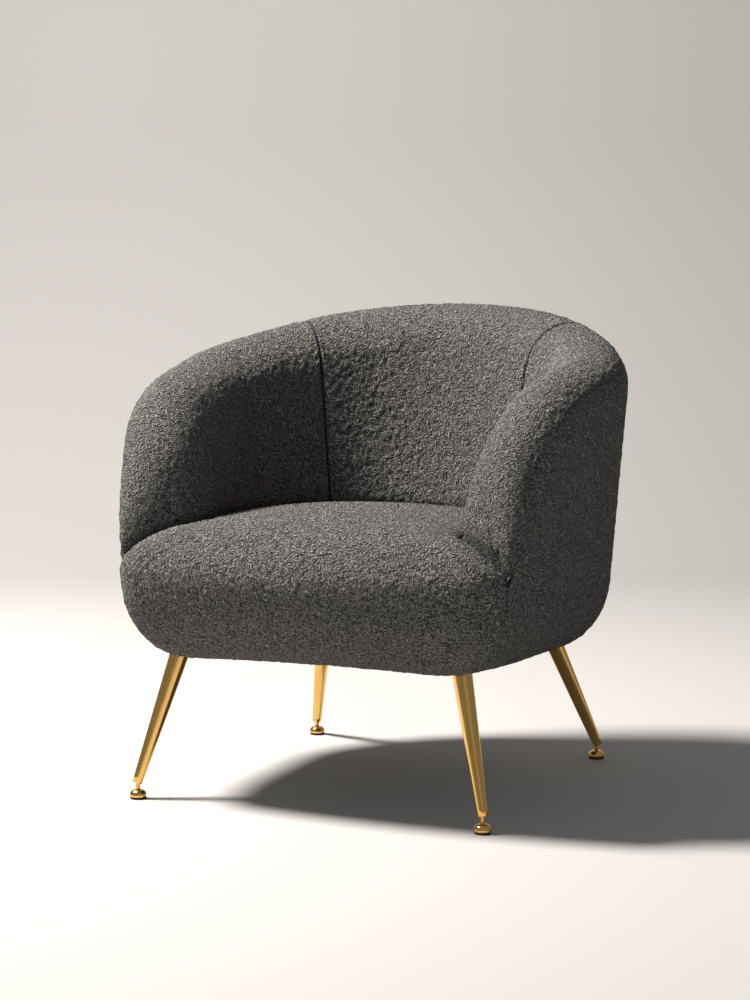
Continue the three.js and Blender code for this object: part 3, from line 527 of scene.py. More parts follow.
def subtract(piece, tool):
    """Cuts a tool's body out of a piece and drops the tool."""
    cut = piece.modifiers.new("Cut", "BOOLEAN")
    cut.operation = "DIFFERENCE"
    cut.object = tool
    cut.solver = "MANIFOLD"
    settle(piece)
    bpy.data.objects.remove(tool)


def soften(piece, rounds):
    """Smooths a piece's points a number of times."""
    smooth = piece.modifiers.new("Soften", "SMOOTH")
    smooth.iterations = rounds
    settle(piece)


def swell(piece, held, reach):
    """Blows a padded piece up by cloth simulation; held points stay, and none moves farther than a reach."""
    pressure = 4.0
    quality = 4
    frames = 20
    scene = bpy.context.scene
    before = read_points(piece.data)
    group = piece.vertex_groups.new(name="held")
    group.add(np.nonzero(held)[0].tolist(), 1.0, "REPLACE")
    modifier = piece.modifiers.new("Swell", "CLOTH")
    modifier.settings.vertex_group_mass = group.name
    modifier.settings.quality = quality
    modifier.settings.use_pressure = True
    modifier.settings.uniform_pressure_force = pressure
    modifier.settings.effector_weights.gravity = 0.0
    modifier.collision_settings.use_collision = False
    for step in range(1, frames + 1):
        scene.frame_set(step)
    settle(piece)
    scene.frame_set(1)
    piece.vertex_groups.clear()
    moved = read_points(piece.data) - before
    far = np.linalg.norm(moved, axis=1, keepdims=True)
    write_points(piece.data, before + moved * reach / (reach + far))


def set_pile(piece, pile, lit):
    """Notes at each point how far the pile stands up, and how lit it is: nought in a crease."""
    for name, values in {"pile": pile, "lit": lit}.items():
        attribute = piece.data.attributes.new(name, "FLOAT", "POINT")
        attribute.data.foreach_set("value", values.astype(np.float32))


def keep_edge(piece, on_edge):
    """Keeps the edges between some points as they are when the piece is subdivided."""
    ends = np.empty(len(piece.data.edges) * 2, dtype=int)
    piece.data.edges.foreach_get("vertices", ends)
    kept = on_edge[ends.reshape(-1, 2)].all(axis=1)
    crease = piece.data.attributes.new("crease_edge", "FLOAT", "EDGE")
    crease.data.foreach_set("value", kept.astype(np.float32))


def edge_roll(distance, radius):
    """How far a surface drops along its edge, where it rolls over with a radius."""
    return radius - np.sqrt(radius**2 - np.clip(radius - distance, 0, radius) ** 2)


# The padded pieces


def quarter_roll(turns):
    """Shares of a quarter roll's depth at even turns, from nought to one."""
    return 1 - np.cos(np.linspace(0, math.pi / 2, turns + 1))


def wall_stations(barrel, start, end, roll=0):
    """Stations between two limits: even, closer together at rolled seams and round an arm's front."""
    step = surface_step
    half = barrel.b.wall / 2
    seam_turns = 4
    front = barrel.arm_station - barrel.p.gap
    front_turns = max(3, round(half * math.pi / 2 / step))
    keep = np.linspace(start, end, max(2, round((end - start) / step)) + 1)
    bands = []
    for limit in (start, end):
        inwards = 1 if limit == start else -1
        if abs(abs(limit) - front) < step:
            bands.append(limit + inwards * half * quarter_roll(front_turns))
            keep = keep[np.abs(keep - limit) > half + step / 2]
        else:
            bands.append(limit + inwards * roll * quarter_roll(seam_turns))
            keep = keep[np.abs(keep - limit) > roll + step / 3]
    return np.unique(np.concatenate([keep, *bands]))


def grid_normals(points):
    """Normals of a grid of points, by the differences along its rows and columns."""
    least = 1e-12
    along = np.gradient(points, axis=0)
    across = np.gradient(points, axis=1)
    normal = np.cross(along, across)
    size = np.linalg.norm(normal, axis=-1, keepdims=True)
    return normal / np.maximum(size, least)


def to_last(points):
    """The way from each point of a grid's rows along its row to the row's last point."""
    runs = np.linalg.norm(np.diff(points, axis=1), axis=-1)
    return np.concatenate([np.cumsum(runs[:, ::-1], axis=1)[:, ::-1], np.zeros((len(points), 1))], axis=1)


def pad_face(barrel, stations, bottom, seam):
    """A pad's shown face, in rows from its lower edge over the rim to the cover's seam."""
    rim = barrel.rim(stations)
    drop = np.minimum(barrel.b.wall / 2, (rim - bottom) / 2)
    turns = 20
    plain_rows = 56
    roll = drop[:, None] * quarter_roll(turns)[None, :]
    low = np.linspace(0, 1, plain_rows + 1)[:-1]
    plain = lerp(bottom[:, None], (rim - drop)[:, None], low[None, :])
    inner_z = np.concatenate([plain, (rim[:, None] - roll)[:, ::-1]], axis=1)
    fall = np.clip((rim - seam) / drop, 0, None)
    over = np.arccos(np.clip(1 - fall, -1, 1))
    angles = over[:, None] * np.linspace(0, 1, turns + 1)[None, 1:]
    rolled_z = rim[:, None] - drop[:, None] * (1 - np.cos(angles))
    eased = np.sin(angles / over[:, None] * math.pi / 2) ** 2
    outer_z = np.where((fall > 1)[:, None], rim[:, None] - (rim - seam)[:, None] * eased, rolled_z)
    column = stations[:, None]
    inner = barrel.place(column, barrel.inner_offset(column, inner_z), inner_z)
    outer = barrel.place(column, barrel.outer_offset(column, outer_z), outer_z)
    shown = np.concatenate([inner, outer], axis=1)
    normals = grid_normals(shown)
    middle = (shown.shape[0] // 2, plain_rows // 2)
    towards = barrel.place(stations[middle[0]], 0, barrel.p.bottom) - shown[middle]
    if np.dot(normals[middle][:2], towards[:2]) > 0:
        normals = -normals
    return shown, normals


def pad_back(barrel, stations, bottom, seam):
    """A pad's hidden face, in rows from the cover's seam down to the pad's lower edge."""
    p = barrel.p
    rows = 5
    solid_end = barrel.arm_station - np.abs(stations) < p.top_thickness
    past_seam = np.where(np.abs(stations) > barrel.b.panel_seam, p.top_thickness, 0)
    hollow_top = np.maximum(barrel.rim(np.abs(stations) + past_seam) - p.top_thickness, bottom)
    shares = np.linspace(0, 1, rows)[:, None]
    behind = lerp(hollow_top, bottom, shares)
    hollow = barrel.hollow_offset(stations[None, :], behind)
    under_cover = lerp(seam - p.gap, bottom, shares)
    outer = barrel.outer_offset(stations[None, :], under_cover)
    halfway = lerp(barrel.inner_offset(stations[None, :], under_cover), outer, 0.5)
    hidden_z = np.where(solid_end[None, :], under_cover, behind)
    hidden_offset = np.where(solid_end[None, :], np.maximum(outer - p.shell, halfway), hollow)
    return barrel.place(stations[None, :], hidden_offset, hidden_z).transpose(1, 0, 2)


def pad_loops(barrel, stations, seam_ends):
    """Loops round a pad's section at stations, with their pile and what is held or hidden of them."""
    p = barrel.p
    tucked = np.clip((barrel.arm_station - np.abs(stations)) / p.front_tuck, 0, 1)
    bottom = lerp(barrel.s.hollow_top + p.gap, p.bottom, tucked)
    seam = np.maximum(barrel.seam_height(stations), bottom) + p.gap
    shown, normals = pad_face(barrel, stations, bottom, seam)
    to_cover_seam = to_last(shown)
    inset = edge_roll(to_cover_seam, p.cover_seam_roll)
    pile = np.ones(to_cover_seam.shape)
    held = (to_cover_seam < surface_step) | (shown[..., 2] < barrel.s.wall_height - surface_step)
    for end in seam_ends:
        to_end = np.abs(stations - end)[:, None] + 0 * to_cover_seam
        inset = np.maximum(inset, edge_roll(to_end, p.panel_seam_roll))
        # Painted shade: at the seams between the panels the curls lie flat and the colour is painted dark.
        pile = np.minimum(pile, np.clip(to_end / p.panel_seam_roll, 0, 1))
        held |= to_end < p.panel_seam_roll
    back = pad_back(barrel, stations, bottom, seam)
    behind = np.ones(back.shape[:2], dtype=bool)
    loops = np.concatenate([shown - normals * inset[..., None], back], axis=1)
    pile = np.concatenate([pile, 0 * behind], axis=1)
    hidden = np.concatenate([np.zeros(held.shape, dtype=bool), behind], axis=1)
    return loops, pile, np.concatenate([held, behind], axis=1), hidden


def nearest_on(tool, points):
    """Distances of points from another piece's surface, negative inside it, and its normals there."""
    mesh = tool.data
    tree = BVHTree.FromPolygons([v.co for v in mesh.vertices], [f.vertices for f in mesh.polygons])
    found = [tree.find_nearest(Vector(point)) for point in points.tolist()]
    near = np.array([hit[0] for hit in found])
    normals = np.array([hit[1] for hit in found])
    offsets = points - near
    return np.copysign(np.linalg.norm(offsets, axis=1), np.sum(offsets * normals, axis=1)), normals


def rolled_in(distance, width, depth):
    """How far a surface rolls into a crease at a distance from it."""
    return depth * np.clip(1 - np.abs(distance) / width, 0, 1) ** 2


def make_pad(barrel, blank, name, start, end, seam_ends):
    """One inside pad of the barrel as a closed grid, rolled in where it meets the seat."""
    p = barrel.p
    softening = 3
    stations = wall_stations(barrel, start, end, p.panel_seam_roll)
    loops, pile, held, hidden = pad_loops(barrel, stations, seam_ends)
    piece = closed_tube(name, loops)
    swell(piece, held.ravel(), p.puff)
    swelled = read_points(piece.data)
    soften(piece, softening)
    rows = np.arange(hidden.shape[1]) - np.argmax(hidden[0])
    at_seam = np.broadcast_to(np.abs(rows) <= p.seam_rows, hidden.shape)
    points = np.where(at_seam.reshape(-1, 1), swelled, read_points(piece.data))
    write_points(piece.data, points)
    away = nearest_on(blank, points)[0]
    pile = pile.ravel()
    inset = np.where(pile > 0, rolled_in(away, p.crease, p.crease_depth), 0)
    write_points(piece.data, points - read_points(piece.data, "normal") * inset[:, None])
    # Painted shade: near the crease with the seat the curls lie flat and, through 'lit', the colour is
    # painted dark.
    pile = np.clip(away / p.crease_line, 0, pile)
    on_edge = np.broadcast_to(rows == -1, hidden.shape).ravel()
    keep_edge(piece, on_edge)
    set_pile(piece, np.where(on_edge, 0, pile), np.where(hidden.ravel(), 1, pile))
    return piece


def cover_face(barrel, stations):
    """The cover's shown face, in rows from its lip's edge round the hem up to its seam."""
    b = barrel.b
    lip_rows = 7
    hem_rows = 30
    rise_rows = 74
    column = stations[:, None]
    hem_z = b.underside + b.hem_rise * (1 - np.sin(np.linspace(math.pi / 2, 0, hem_rows)))
    rise_share = np.linspace(0, 1, rise_rows + 1)[1:]
    rise_z = lerp(b.underside + b.hem_rise, barrel.seam_height(stations)[:, None], rise_share[None, :])
    z = np.concatenate([np.broadcast_to(hem_z, (len(stations), hem_rows)), rise_z], axis=1)
    face_offset = barrel.outer_offset(column, z)
    lip_offset = barrel.face_lean(barrel.outline(stations)[3], b.underside) - barrel.p.lip
    lip_share = np.linspace(0, 1, lip_rows + 1)[:-1]
    lip_run = lerp(lip_offset[:, None], face_offset[:, :1], lip_share[None, :])
    offset = np.concatenate([lip_run, face_offset], axis=1)
    z = np.concatenate([np.full(lip_run.shape, b.underside), z], axis=1)
    shown = barrel.place(column, offset, z)
    normals = grid_normals(shown)
    middle = (shown.shape[0] // 2, shown.shape[1] // 2)
    return shown, -normals if normals[middle][1] < 0 else normals


def make_cover(barrel, name):
    """The outside cover as a closed grid, from its lip under the hem to its seam under the rim."""
    p = barrel.p
    hidden_rows = 14
    front = barrel.arm_station - p.gap
    stations = wall_stations(barrel, -front, front)
    shown, normals = cover_face(barrel, stations)
    rows = shown.shape[1]
    to_top = to_last(shown)
    to_front = (barrel.arm_station - np.abs(stations))[:, None] + 0 * to_top
    inset = np.maximum(edge_roll(to_top, p.cover_seam_roll), edge_roll(to_front, p.side_seam_roll))
    pick = np.unique(np.linspace(0, rows - 1, hidden_rows).round().astype(int))[::-1]
    hidden = (shown - normals * p.cover)[:, pick]
    piece = closed_tube(name, np.concatenate([shown - normals * inset[..., None], hidden], axis=1))
    # Painted shade: along the arms' fronts the cover's curls lie flat and its colour is painted dark.
    pile = np.clip(to_front / p.side_seam_roll, 0, 1)
    lit = np.concatenate([pile, np.ones(hidden.shape[:2])], axis=1)
    on_edge = np.broadcast_to(np.arange(lit.shape[1]) == rows - 1, lit.shape)
    keep_edge(piece, on_edge.ravel())
    standing = np.arange(lit.shape[1]) < rows - 1
    set_pile(piece, (lit * standing).ravel(), lit.ravel())
    return piece


def seat_height(seat, x, y):
    """The seat's crowned height before its edge rolls down."""
    across = np.clip(1 - (x / seat.crown_half_width) ** 2, 0, None)
    along = np.clip(1 - ((y + seat.crown_depth) / seat.crown_reach) ** 2, 0, None)
    return seat.wall_height + seat.crown * across * along


def rings_in_space(barrel, outline, rings):
    """Rings of points on an outline, from pairs of an offset outwards and a height."""
    x, y, nx, ny = outline
    return [
        np.stack([x + nx * offset, y + ny * offset + barrel.shift_y, np.broadcast_to(z, x.shape)], axis=-1)
        for offset, z in rings
    ]


def seat_blank(barrel):
    """The seat on the whole outline, before the barrel and the springs take their room."""
    b = barrel.b
    seat = barrel.s
    hem_rows = 26
    side_rows = 7
    roll_rows = 33
    crown_rows = 46
    outline = barrel.closed_outline(surface_step)
    x, y, nx, ny = outline
    hem = b.underside + b.hem_rise * (1 - np.sin(np.linspace(math.pi / 2, 0, hem_rows)))
    side = np.linspace(b.underside + b.hem_rise, seat.edge_height, side_rows + 1)[1:]
    rings = [(barrel.face_lean(ny, z), z) for z in (*hem, *side)]
    lean = barrel.face_lean(ny, seat.edge_height)
    for a in np.linspace(0, math.pi / 2, roll_rows + 1)[1:]:
        offset = lean - seat.edge_roll * (1 - math.cos(a))
        flat_z = seat_height(seat, x + nx * offset, y + ny * offset)
        rings.append((offset, lerp(seat.edge_height, flat_z, math.sin(a))))
    rings = rings_in_space(barrel, outline, rings)
    rolled_x = x + nx * (lean - seat.edge_roll)
    rolled_y = y + ny * (lean - seat.edge_roll)
    for near in np.linspace(1, 0, crown_rows + 2)[1:-1]:
        crown_x = rolled_x * near
        crown_y = lerp(-seat.crown_depth, rolled_y, near)
        crown_z = seat_height(seat, crown_x, crown_y)
        rings.append(np.stack([crown_x, crown_y + barrel.shift_y, crown_z], axis=-1))
    peak = (0, -seat.crown_depth + barrel.shift_y, float(seat_height(seat, 0, -seat.crown_depth)))
    return puck("seat", rings, peak, (0, barrel.shift_y, b.underside))


def seat_hollow(barrel):
    """The room under the seat for rails, springs and corner blocks."""
    b = barrel.b
    seat = barrel.s
    coarse = 4
    rows = 8
    outline = barrel.closed_outline(surface_step * coarse)
    ny = outline[3]
    low = b.underside - b.hem_rise
    lip_top = b.underside + seat.lip
    lip = barrel.face_lean(ny, b.underside + b.hem_rise) - b.hem_tuck - barrel.p.lip
    rings = [(lip, low), (lip, lip_top)]
    for z in np.linspace(lip_top, seat.hollow_top, rows):
        rise = (z - lip_top) / (seat.hollow_top - lip_top)
        rings.append((barrel.face_lean(ny, z) - lerp(barrel.p.shell, seat.border, rise), z))
    top, bottom = ((0, barrel.shift_y, z) for z in (seat.hollow_top, low))
    return puck("seat_hollow", rings_in_space(barrel, outline, rings), top, bottom)


def wall_zone(barrel):
    """The room that the seat leaves to the barrel's wall."""
    b = barrel.b
    p = barrel.p
    outside = 0.06
    roll_turns = 19
    plain_rows = 39
    front = barrel.arm_station - p.gap
    stations = wall_stations(barrel, -front, front)
    places = np.concatenate([[-barrel.arm_station], stations, [barrel.arm_station]])
    stations = np.concatenate([[-front], stations, [front]])
    hem = barrel.face_lean(barrel.outline(stations)[3], b.underside) - p.lip - p.gap
    step = barrel.s.hollow_top - p.gap
    rim = barrel.rim(stations)
    drop = np.minimum(b.wall / 2, (rim - p.bottom) / 2)
    roll = drop[:, None] * quarter_roll(roll_turns)[None, :]
    plain = lerp(p.bottom, (rim - drop)[:, None], np.linspace(0, 1, plain_rows + 1)[None, :-1])
    z = np.concatenate([plain, (rim[:, None] - roll)[:, ::-1]], axis=1)
    face = barrel.inner_offset(stations[:, None], z) - p.gap
    ledge_offset = np.stack([hem, hem, face[:, 0]], axis=1)
    ledge_z = np.broadcast_to([b.underside - b.hem_rise, step - p.gap, step], ledge_offset.shape)
    inner_offset = np.concatenate([ledge_offset, face], axis=1)
    inner_z = np.concatenate([ledge_z, z], axis=1)
    offset = np.concatenate([np.full(inner_offset.shape, outside), inner_offset[:, ::-1]], axis=1)
    z = np.concatenate([inner_z, inner_z[:, ::-1]], axis=1)
    return closed_tube("wall_zone", barrel.place(places[:, None], offset, z))


def make_seat(barrel, blank):
    """The seat: cut to the room between the arms, remeshed to an even cloth and rolled into its creases."""
    b = barrel.b
    seat = barrel.s
    softening = 4
    piece = seat_blank(barrel)
    subtract(piece, seat_hollow(barrel))
    subtract(piece, wall_zone(barrel))
    remesh = piece.modifiers.new("Even cloth", "REMESH")
    remesh.mode = "VOXEL"
    remesh.voxel_size = seat.voxel
    remesh.use_smooth_shade = True
    settle(piece)
    soften(piece, softening)
    points = read_points(piece.data)
    zone = wall_zone(barrel)
    away = np.abs(nearest_on(zone, points)[0])
    bpy.data.objects.remove(zone)
    height, out = nearest_on(blank, points)
    deep = np.abs(height)
    shown = deep < seat.voxel
    above_hem = points[:, 2] > b.underside + b.hem_rise
    swell(piece, ~shown | (away < seat.voxel) | ~above_hem, seat.puff)
    under = np.clip(1 - deep / (3 * seat.crease_depth), 0, 1)
    above_tip = (points[:, 2] - barrel.p.tip_height) / seat.crease
    inset = rolled_in(away, seat.crease, seat.crease_depth) * under * np.clip(above_tip - 1, 0, 1)
    write_points(piece.data, read_points(piece.data) - out * inset[:, None])
    # Painted shade: along the crease with the pads, above the arms' tips, the seat's colour is painted dark
    # and its curls lie flat.
    lit = np.clip(away / barrel.p.crease_line + 1 - np.clip(above_tip, 0, 1), 0, 1)
    pile = np.where(shown, lit, 0)
    set_pile(piece, pile, pile)
    return piece


# Materials


class Nodes:
    """A node tree with short ways to add nodes and links"""

    def __init__(self, tree):
        self.tree = tree

    def link(self, source, target):
        self.tree.links.new(source, target)

    def feed(self, node, feeds):
        """Gives a node's inputs, by name or place, a link or a plain value."""
        for key, value in feeds.items():
            if isinstance(value, bpy.types.NodeSocket):
                self.link(value, node.inputs[key])
            elif value is not None:
                node.inputs[key].default_value = value

    def add(self, kind, feeds=None, **settings):
        """Adds a node with its settings, and feeds its inputs."""
        node = self.tree.nodes.new(kind)
        for key, value in settings.items():
            setattr(node, key, value)
        self.feed(node, feeds or {})
        return node

    def math(self, operation, a, b=None):
        return self.add("ShaderNodeMath", {0: a, 1: b}, operation=operation).outputs[0]

    def mix(self, factor, a, b):
        return self.add("ShaderNodeMix", {"Factor": factor, 6: a, 7: b}, data_type="RGBA").outputs[2]

    def spread(self, value, low, high, to_low=0.0, to_high=1.0):
        """Maps a value from one range to another, held at its ends."""
        feeds = dict(enumerate((value, low, high, to_low, to_high)))
        return self.add("ShaderNodeMapRange", feeds).outputs[0]


def opaque(rgb):
    """A colour with its alpha."""
    return (*rgb, 1.0)


def new_tree(name, kind, inputs, outputs):
    """A node group with its sockets, given as names and kinds, and its nodes."""
    tree = bpy.data.node_groups.new(name, kind)
    for in_out, sockets in {"INPUT": inputs, "OUTPUT": outputs}.items():
        for socket, form in sockets.items():
            tree.interface.new_socket(socket, in_out=in_out, socket_type="NodeSocket" + form)
    nodes = Nodes(tree)
    return tree, nodes, nodes.add("NodeGroupInput"), nodes.add("NodeGroupOutput")


def geometry_tree(name, *sizes):
    """A geometry nodes group that takes geometry, some sizes and a finish."""
    inputs = {"Geometry": "Geometry", **dict.fromkeys(sizes, "Float"), "Finish": "Material"}
    return new_tree(name, "GeometryNodeTree", inputs, {"Geometry": "Geometry"})


def material_with_shader(name):
    """A new material, its nodes and its surface shader."""
    material = bpy.data.materials.new(name)
    material.use_nodes = True
    nodes = Nodes(material.node_tree)
    shader = material.node_tree.nodes["Principled BSDF"]
    return material, nodes, shader


def raise_by(nodes, shader, height, distance):
    """Raises a material's surface by a height."""
    bump = nodes.add("ShaderNodeBump", {"Distance": distance, "Height": height})
    nodes.link(bump.outputs["Normal"], shader.inputs["Normal"])


def curls_group():
    """Shared pattern of winding curls: their height, and a mask that is one on the crests and nought between
    the curls, where shade is painted.
    """
    tree, nodes, inputs, outputs = new_tree(
        "Curls",
        "ShaderNodeTree",
        {"Vector": "Vector", "Spacing": "Float", "Winding": "Float"},
        {"Height": "Float", "Crest": "Float"},
    )
    second_shift = (3.1, 1.7, 5.2)
    crest_from, crest_to = 0.05, 0.8
    place = inputs.outputs["Vector"]
    shifted = nodes.add("ShaderNodeVectorMath", {0: place, 1: second_shift}, operation="ADD").outputs[0]
    layers = (
        {"place": place, "fineness": 0.88, "weight": 1.0},
        {"place": shifted, "fineness": 1.0, "weight": 0.75},
    )
    turns = []
    for layer in layers:
        scale = nodes.math("DIVIDE", layer["fineness"], inputs.outputs["Spacing"])
        noise = nodes.add("ShaderNodeTexNoise", {"Detail": 0.0, "Vector": layer["place"], "Scale": scale})
        winding = nodes.math("MULTIPLY", inputs.outputs["Winding"], layer["weight"] * 2 * math.pi)
        turns.append(nodes.math("MULTIPLY", noise.outputs["Fac"], winding))
    wave = nodes.math("SINE", nodes.math("ADD", *turns))
    height = nodes.spread(wave, -1.0, 1.0)
    nodes.feed(outputs, {"Height": height, "Crest": nodes.spread(height, crest_from, crest_to)})
    return tree


def make_boucle():
    """The curly cloth: pale crests over painted shade between the curls, raised by the same pattern, with
    shade painted near black into its seams and creases.
    """
    looks = bpy.context.scene.tub_cloth
    material, nodes, shader = material_with_shader("boucle")
    rest = nodes.add("ShaderNodeAttribute", attribute_name="rest").outputs["Vector"]
    lit = nodes.add("ShaderNodeAttribute", attribute_name="lit").outputs["Fac"]
    feeds = {"Vector": rest, "Spacing": looks.spacing, "Winding": looks.winding}
    curls = nodes.add("ShaderNodeGroup", feeds, node_tree=curls_group())
    # Painted shade: between the curls the crest colour gives way to a darker colour that stands in for shade.
    base = nodes.mix(curls.outputs["Crest"], opaque(looks.crevice), opaque(looks.crest))
    # Painted shade: where 'lit' falls to nought, in seams and creases, the colour is painted near black.
    nodes.feed(shader, {
        "Base Color": nodes.mix(lit, opaque(looks.seam), base),
        "Roughness": 0.95,
        "Sheen Weight": 0.2,
        "Sheen Roughness": 0.5,
        "Specular IOR Level": 0.2,
    })
    raise_by(nodes, shader, curls.outputs["Height"], looks.bump)
    return material


def mottle_group():
    """Shared mottling: a cloudy noise, stretched along the axes, and a finer grain."""
    tree, nodes, inputs, outputs = new_tree(
        "Mottle",
        "ShaderNodeTree",
        {"Stretch": "Vector", "Roughness": "Float"},
        {"Cloud": "Float", "Grain": "Float"},
    )
    place = nodes.add("ShaderNodeTexCoord").outputs["Object"]
    stretch = {0: place, 1: inputs.outputs["Stretch"]}
    stretched = nodes.add("ShaderNodeVectorMath", stretch, operation="MULTIPLY").outputs["Vector"]
    shared = {"Vector": stretched, "Detail": 5.0, "Roughness": inputs.outputs["Roughness"]}
    for output, fineness in {"Cloud": 1.0, "Grain": 7.0}.items():
        noise = nodes.add("ShaderNodeTexNoise", {"Scale": fineness, **shared})
        nodes.link(noise.outputs["Fac"], outputs.inputs[output])
    return tree


def mottled(nodes, stretch):
    """The shared mottling in a material: its cloud and its grain."""
    tree = bpy.data.node_groups.get("Mottle") or mottle_group()
    node = nodes.add("ShaderNodeGroup", node_tree=tree)
    nodes.feed(node, {"Stretch": stretch, "Roughness": 0.6})
    return node.outputs["Cloud"], node.outputs["Grain"]


noise_span = (0.3, 0.7)
narrow_span = (0.35, 0.65)


def make_metal(name, stretch, low, high, rough, scratch):
    """Metal: a little clouded in colour, with fine marks of drawing or wiping."""
    material, nodes, shader = material_with_shader(name)
    cloud, grain = mottled(nodes, stretch)
    base = nodes.mix(cloud, opaque(low), opaque(high))
    roughness = nodes.spread(grain, *noise_span, *rough)
    nodes.feed(shader, {"Base Color": base, "Roughness": roughness, "Metallic": 1.0})
    raise_by(nodes, shader, grain, scratch)
    return material


def make_wood(name, stretch):
    """Planed beech: long grain with short dark flecks."""
    low = (0.47, 0.31, 0.17)
    high = (0.62, 0.44, 0.27)
    dark = (0.3, 0.17, 0.08)
    fleck_span = (0.62, 0.68)
    rough = (0.55, 0.75)
    grain_height = 0.0002
    material, nodes, shader = material_with_shader(name)
    cloud, grain = mottled(nodes, stretch)
    base = nodes.mix(nodes.spread(cloud, *narrow_span), opaque(low), opaque(high))
    base = nodes.mix(nodes.spread(grain, *fleck_span), base, opaque(dark))
    nodes.feed(shader, {"Base Color": base, "Roughness": nodes.spread(grain, *noise_span, *rough)})
    raise_by(nodes, shader, grain, grain_height)
    return material


def make_matt(name, stretch, low, high, height):
    """A matt finish with fibres or specks that stand out a little."""
    rough = (0.7, 0.95)
    material, nodes, shader = material_with_shader(name)
    cloud, grain = mottled(nodes, stretch)
    mixed = nodes.math("ADD", nodes.math("MULTIPLY", cloud, 0.5), nodes.math("MULTIPLY", grain, 0.5))
    base = nodes.mix(nodes.spread(mixed, *narrow_span), opaque(low), opaque(high))
    nodes.feed(shader, {"Base Color": base, "Roughness": nodes.spread(cloud, *noise_span, *rough)})
    raise_by(nodes, shader, grain, height)
    return material


def make_weave():
    """A woven band: crossing threads, pale where they come to the top."""
    spacings = {"X": 0.0016, "Z": 0.0022}
    low = (0.13, 0.1, 0.07)
    high = (0.34, 0.29, 0.22)
    thread_height = 0.0005
    material, nodes, shader = material_with_shader("webbing")
    place = nodes.add("ShaderNodeTexCoord").outputs["Object"]
    parts = nodes.add("ShaderNodeSeparateXYZ", {"Vector": place})
    threads = []
    for axis, spacing in spacings.items():
        turned = nodes.math("MULTIPLY", parts.outputs[axis], 2 * math.pi / spacing)
        threads.append(nodes.math("SINE", turned))
    woven = nodes.spread(nodes.math("MULTIPLY", *threads), -1.0, 1.0)
    nodes.feed(shader, {"Base Color": nodes.mix(woven, opaque(low), opaque(high)), "Roughness": 0.9})
    raise_by(nodes, shader, woven, thread_height)
    return material


metal_looks = {
    "polished_gold": {
        "stretch": (55, 55, 7),
        "low": (0.74, 0.44, 0.12),
        "high": (0.82, 0.52, 0.17),
        "rough": (0.13, 0.24),
        "scratch": 0.00002,
    },
    "spring_steel": {
        "stretch": (500, 500, 500),
        "low": (0.2, 0.2, 0.21),
        "high": (0.3, 0.3, 0.31),
        "rough": (0.3, 0.45),
        "scratch": 0.00005,
    },
    "zinc_steel": {
        "stretch": (160, 160, 160),
        "low": (0.5, 0.5, 0.52),
        "high": (0.64, 0.64, 0.66),
        "rough": (0.25, 0.45),
        "scratch": 0.00005,
    },
}
matt_looks = {
    "glide_pad": {
        "stretch": (900, 900, 900),
        "low": (0.008, 0.008, 0.009),
        "high": (0.022, 0.022, 0.023),
        "height": 0.00005,
    },
    "lining": {
        "stretch": (700, 260, 260),
        "low": (0.007, 0.007, 0.008),
        "high": (0.02, 0.02, 0.021),
        "height": 0.0002,
    },
    # Dark brown hardboard: its own tone, made darker still so the slit where it shows by the arms' lower
    # fronts reads as painted shade.
    "fibreboard": {
        "stretch": (260, 260, 420),
        "low": (0.16, 0.11, 0.065),
        "high": (0.27, 0.2, 0.125),
        "height": 0.0002,
    },
}
wood_grains = {
    "beech_upright": (90, 90, 9),
    "beech_lengthwise": (90, 9, 90),
    "beech_crosswise": (9, 90, 90),
}


def finish(slot):
    """The finish of a record's slot, made when it is first asked for."""
    name = "chair_" + slot
    if name in bpy.data.materials:
        return bpy.data.materials[name]
    if slot in metal_looks:
        return make_metal(name, **metal_looks[slot])
    if slot in matt_looks:
        return make_matt(name, **matt_looks[slot])
    if slot in wood_grains:
        return make_wood(name, wood_grains[slot])
    material = {"boucle": make_boucle, "webbing": make_weave}[slot]()
    material.name = name
    return material


# Operators


def barrel_now():
    """The barrel worked out from the scene's present sizes."""
    scene = bpy.context.scene
    return Barrel(scene.tub_barrel, scene.tub_padding, scene.tub_seat)


def hand_over(piece, slot, body, node):
    """Gives a piece its finish, hangs it on the body that it rides on and hides the frame node that it stands
    for.
    """
    piece.data.materials.append(finish(slot))
    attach(piece, body)
    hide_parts(node)


def curl_tree():
    """Geometry nodes that raise clumps of curls from a cloth's surface and note where each point rested."""
    clumps_per_spacing = 0.5
    middle_of_noise = 0.5
    strength = 4.0
    name = "Raised curls"
    if name in bpy.data.node_groups:
        return bpy.data.node_groups[name]
    tree, nodes, inputs, outputs = geometry_tree(name, "Spacing", "Relief")
    place = nodes.add("GeometryNodeInputPosition").outputs["Position"]
    store = nodes.add("GeometryNodeStoreNamedAttribute", data_type="FLOAT_VECTOR", domain="POINT")
    nodes.feed(store, {"Name": "rest", "Geometry": inputs.outputs["Geometry"], "Value": place})
    scale = nodes.math("DIVIDE", clumps_per_spacing, inputs.outputs["Spacing"])
    feeds = {"Detail": 1.0, "Vector": place, "Scale": scale}
    noise = nodes.add("ShaderNodeTexNoise", feeds, normalize=True)
    pile = nodes.add("GeometryNodeInputNamedAttribute", {"Name": "pile"}, data_type="FLOAT")
    raised = nodes.math("SUBTRACT", noise.outputs["Fac"], middle_of_noise)
    for factor in (inputs.outputs["Relief"], strength, pile.outputs["Attribute"]):
        raised = nodes.math("MULTIPLY", raised, factor)
    normal = nodes.add("GeometryNodeInputNormal").outputs["Normal"]
    along = nodes.add("ShaderNodeVectorMath", {0: normal, "Scale": raised}, operation="SCALE")
    feeds = {"Geometry": store.outputs["Geometry"], "Offset": along.outputs["Vector"]}
    move = nodes.add("GeometryNodeSetPosition", feeds)
    end_tree(nodes, move.outputs["Geometry"], inputs, outputs)
    return tree


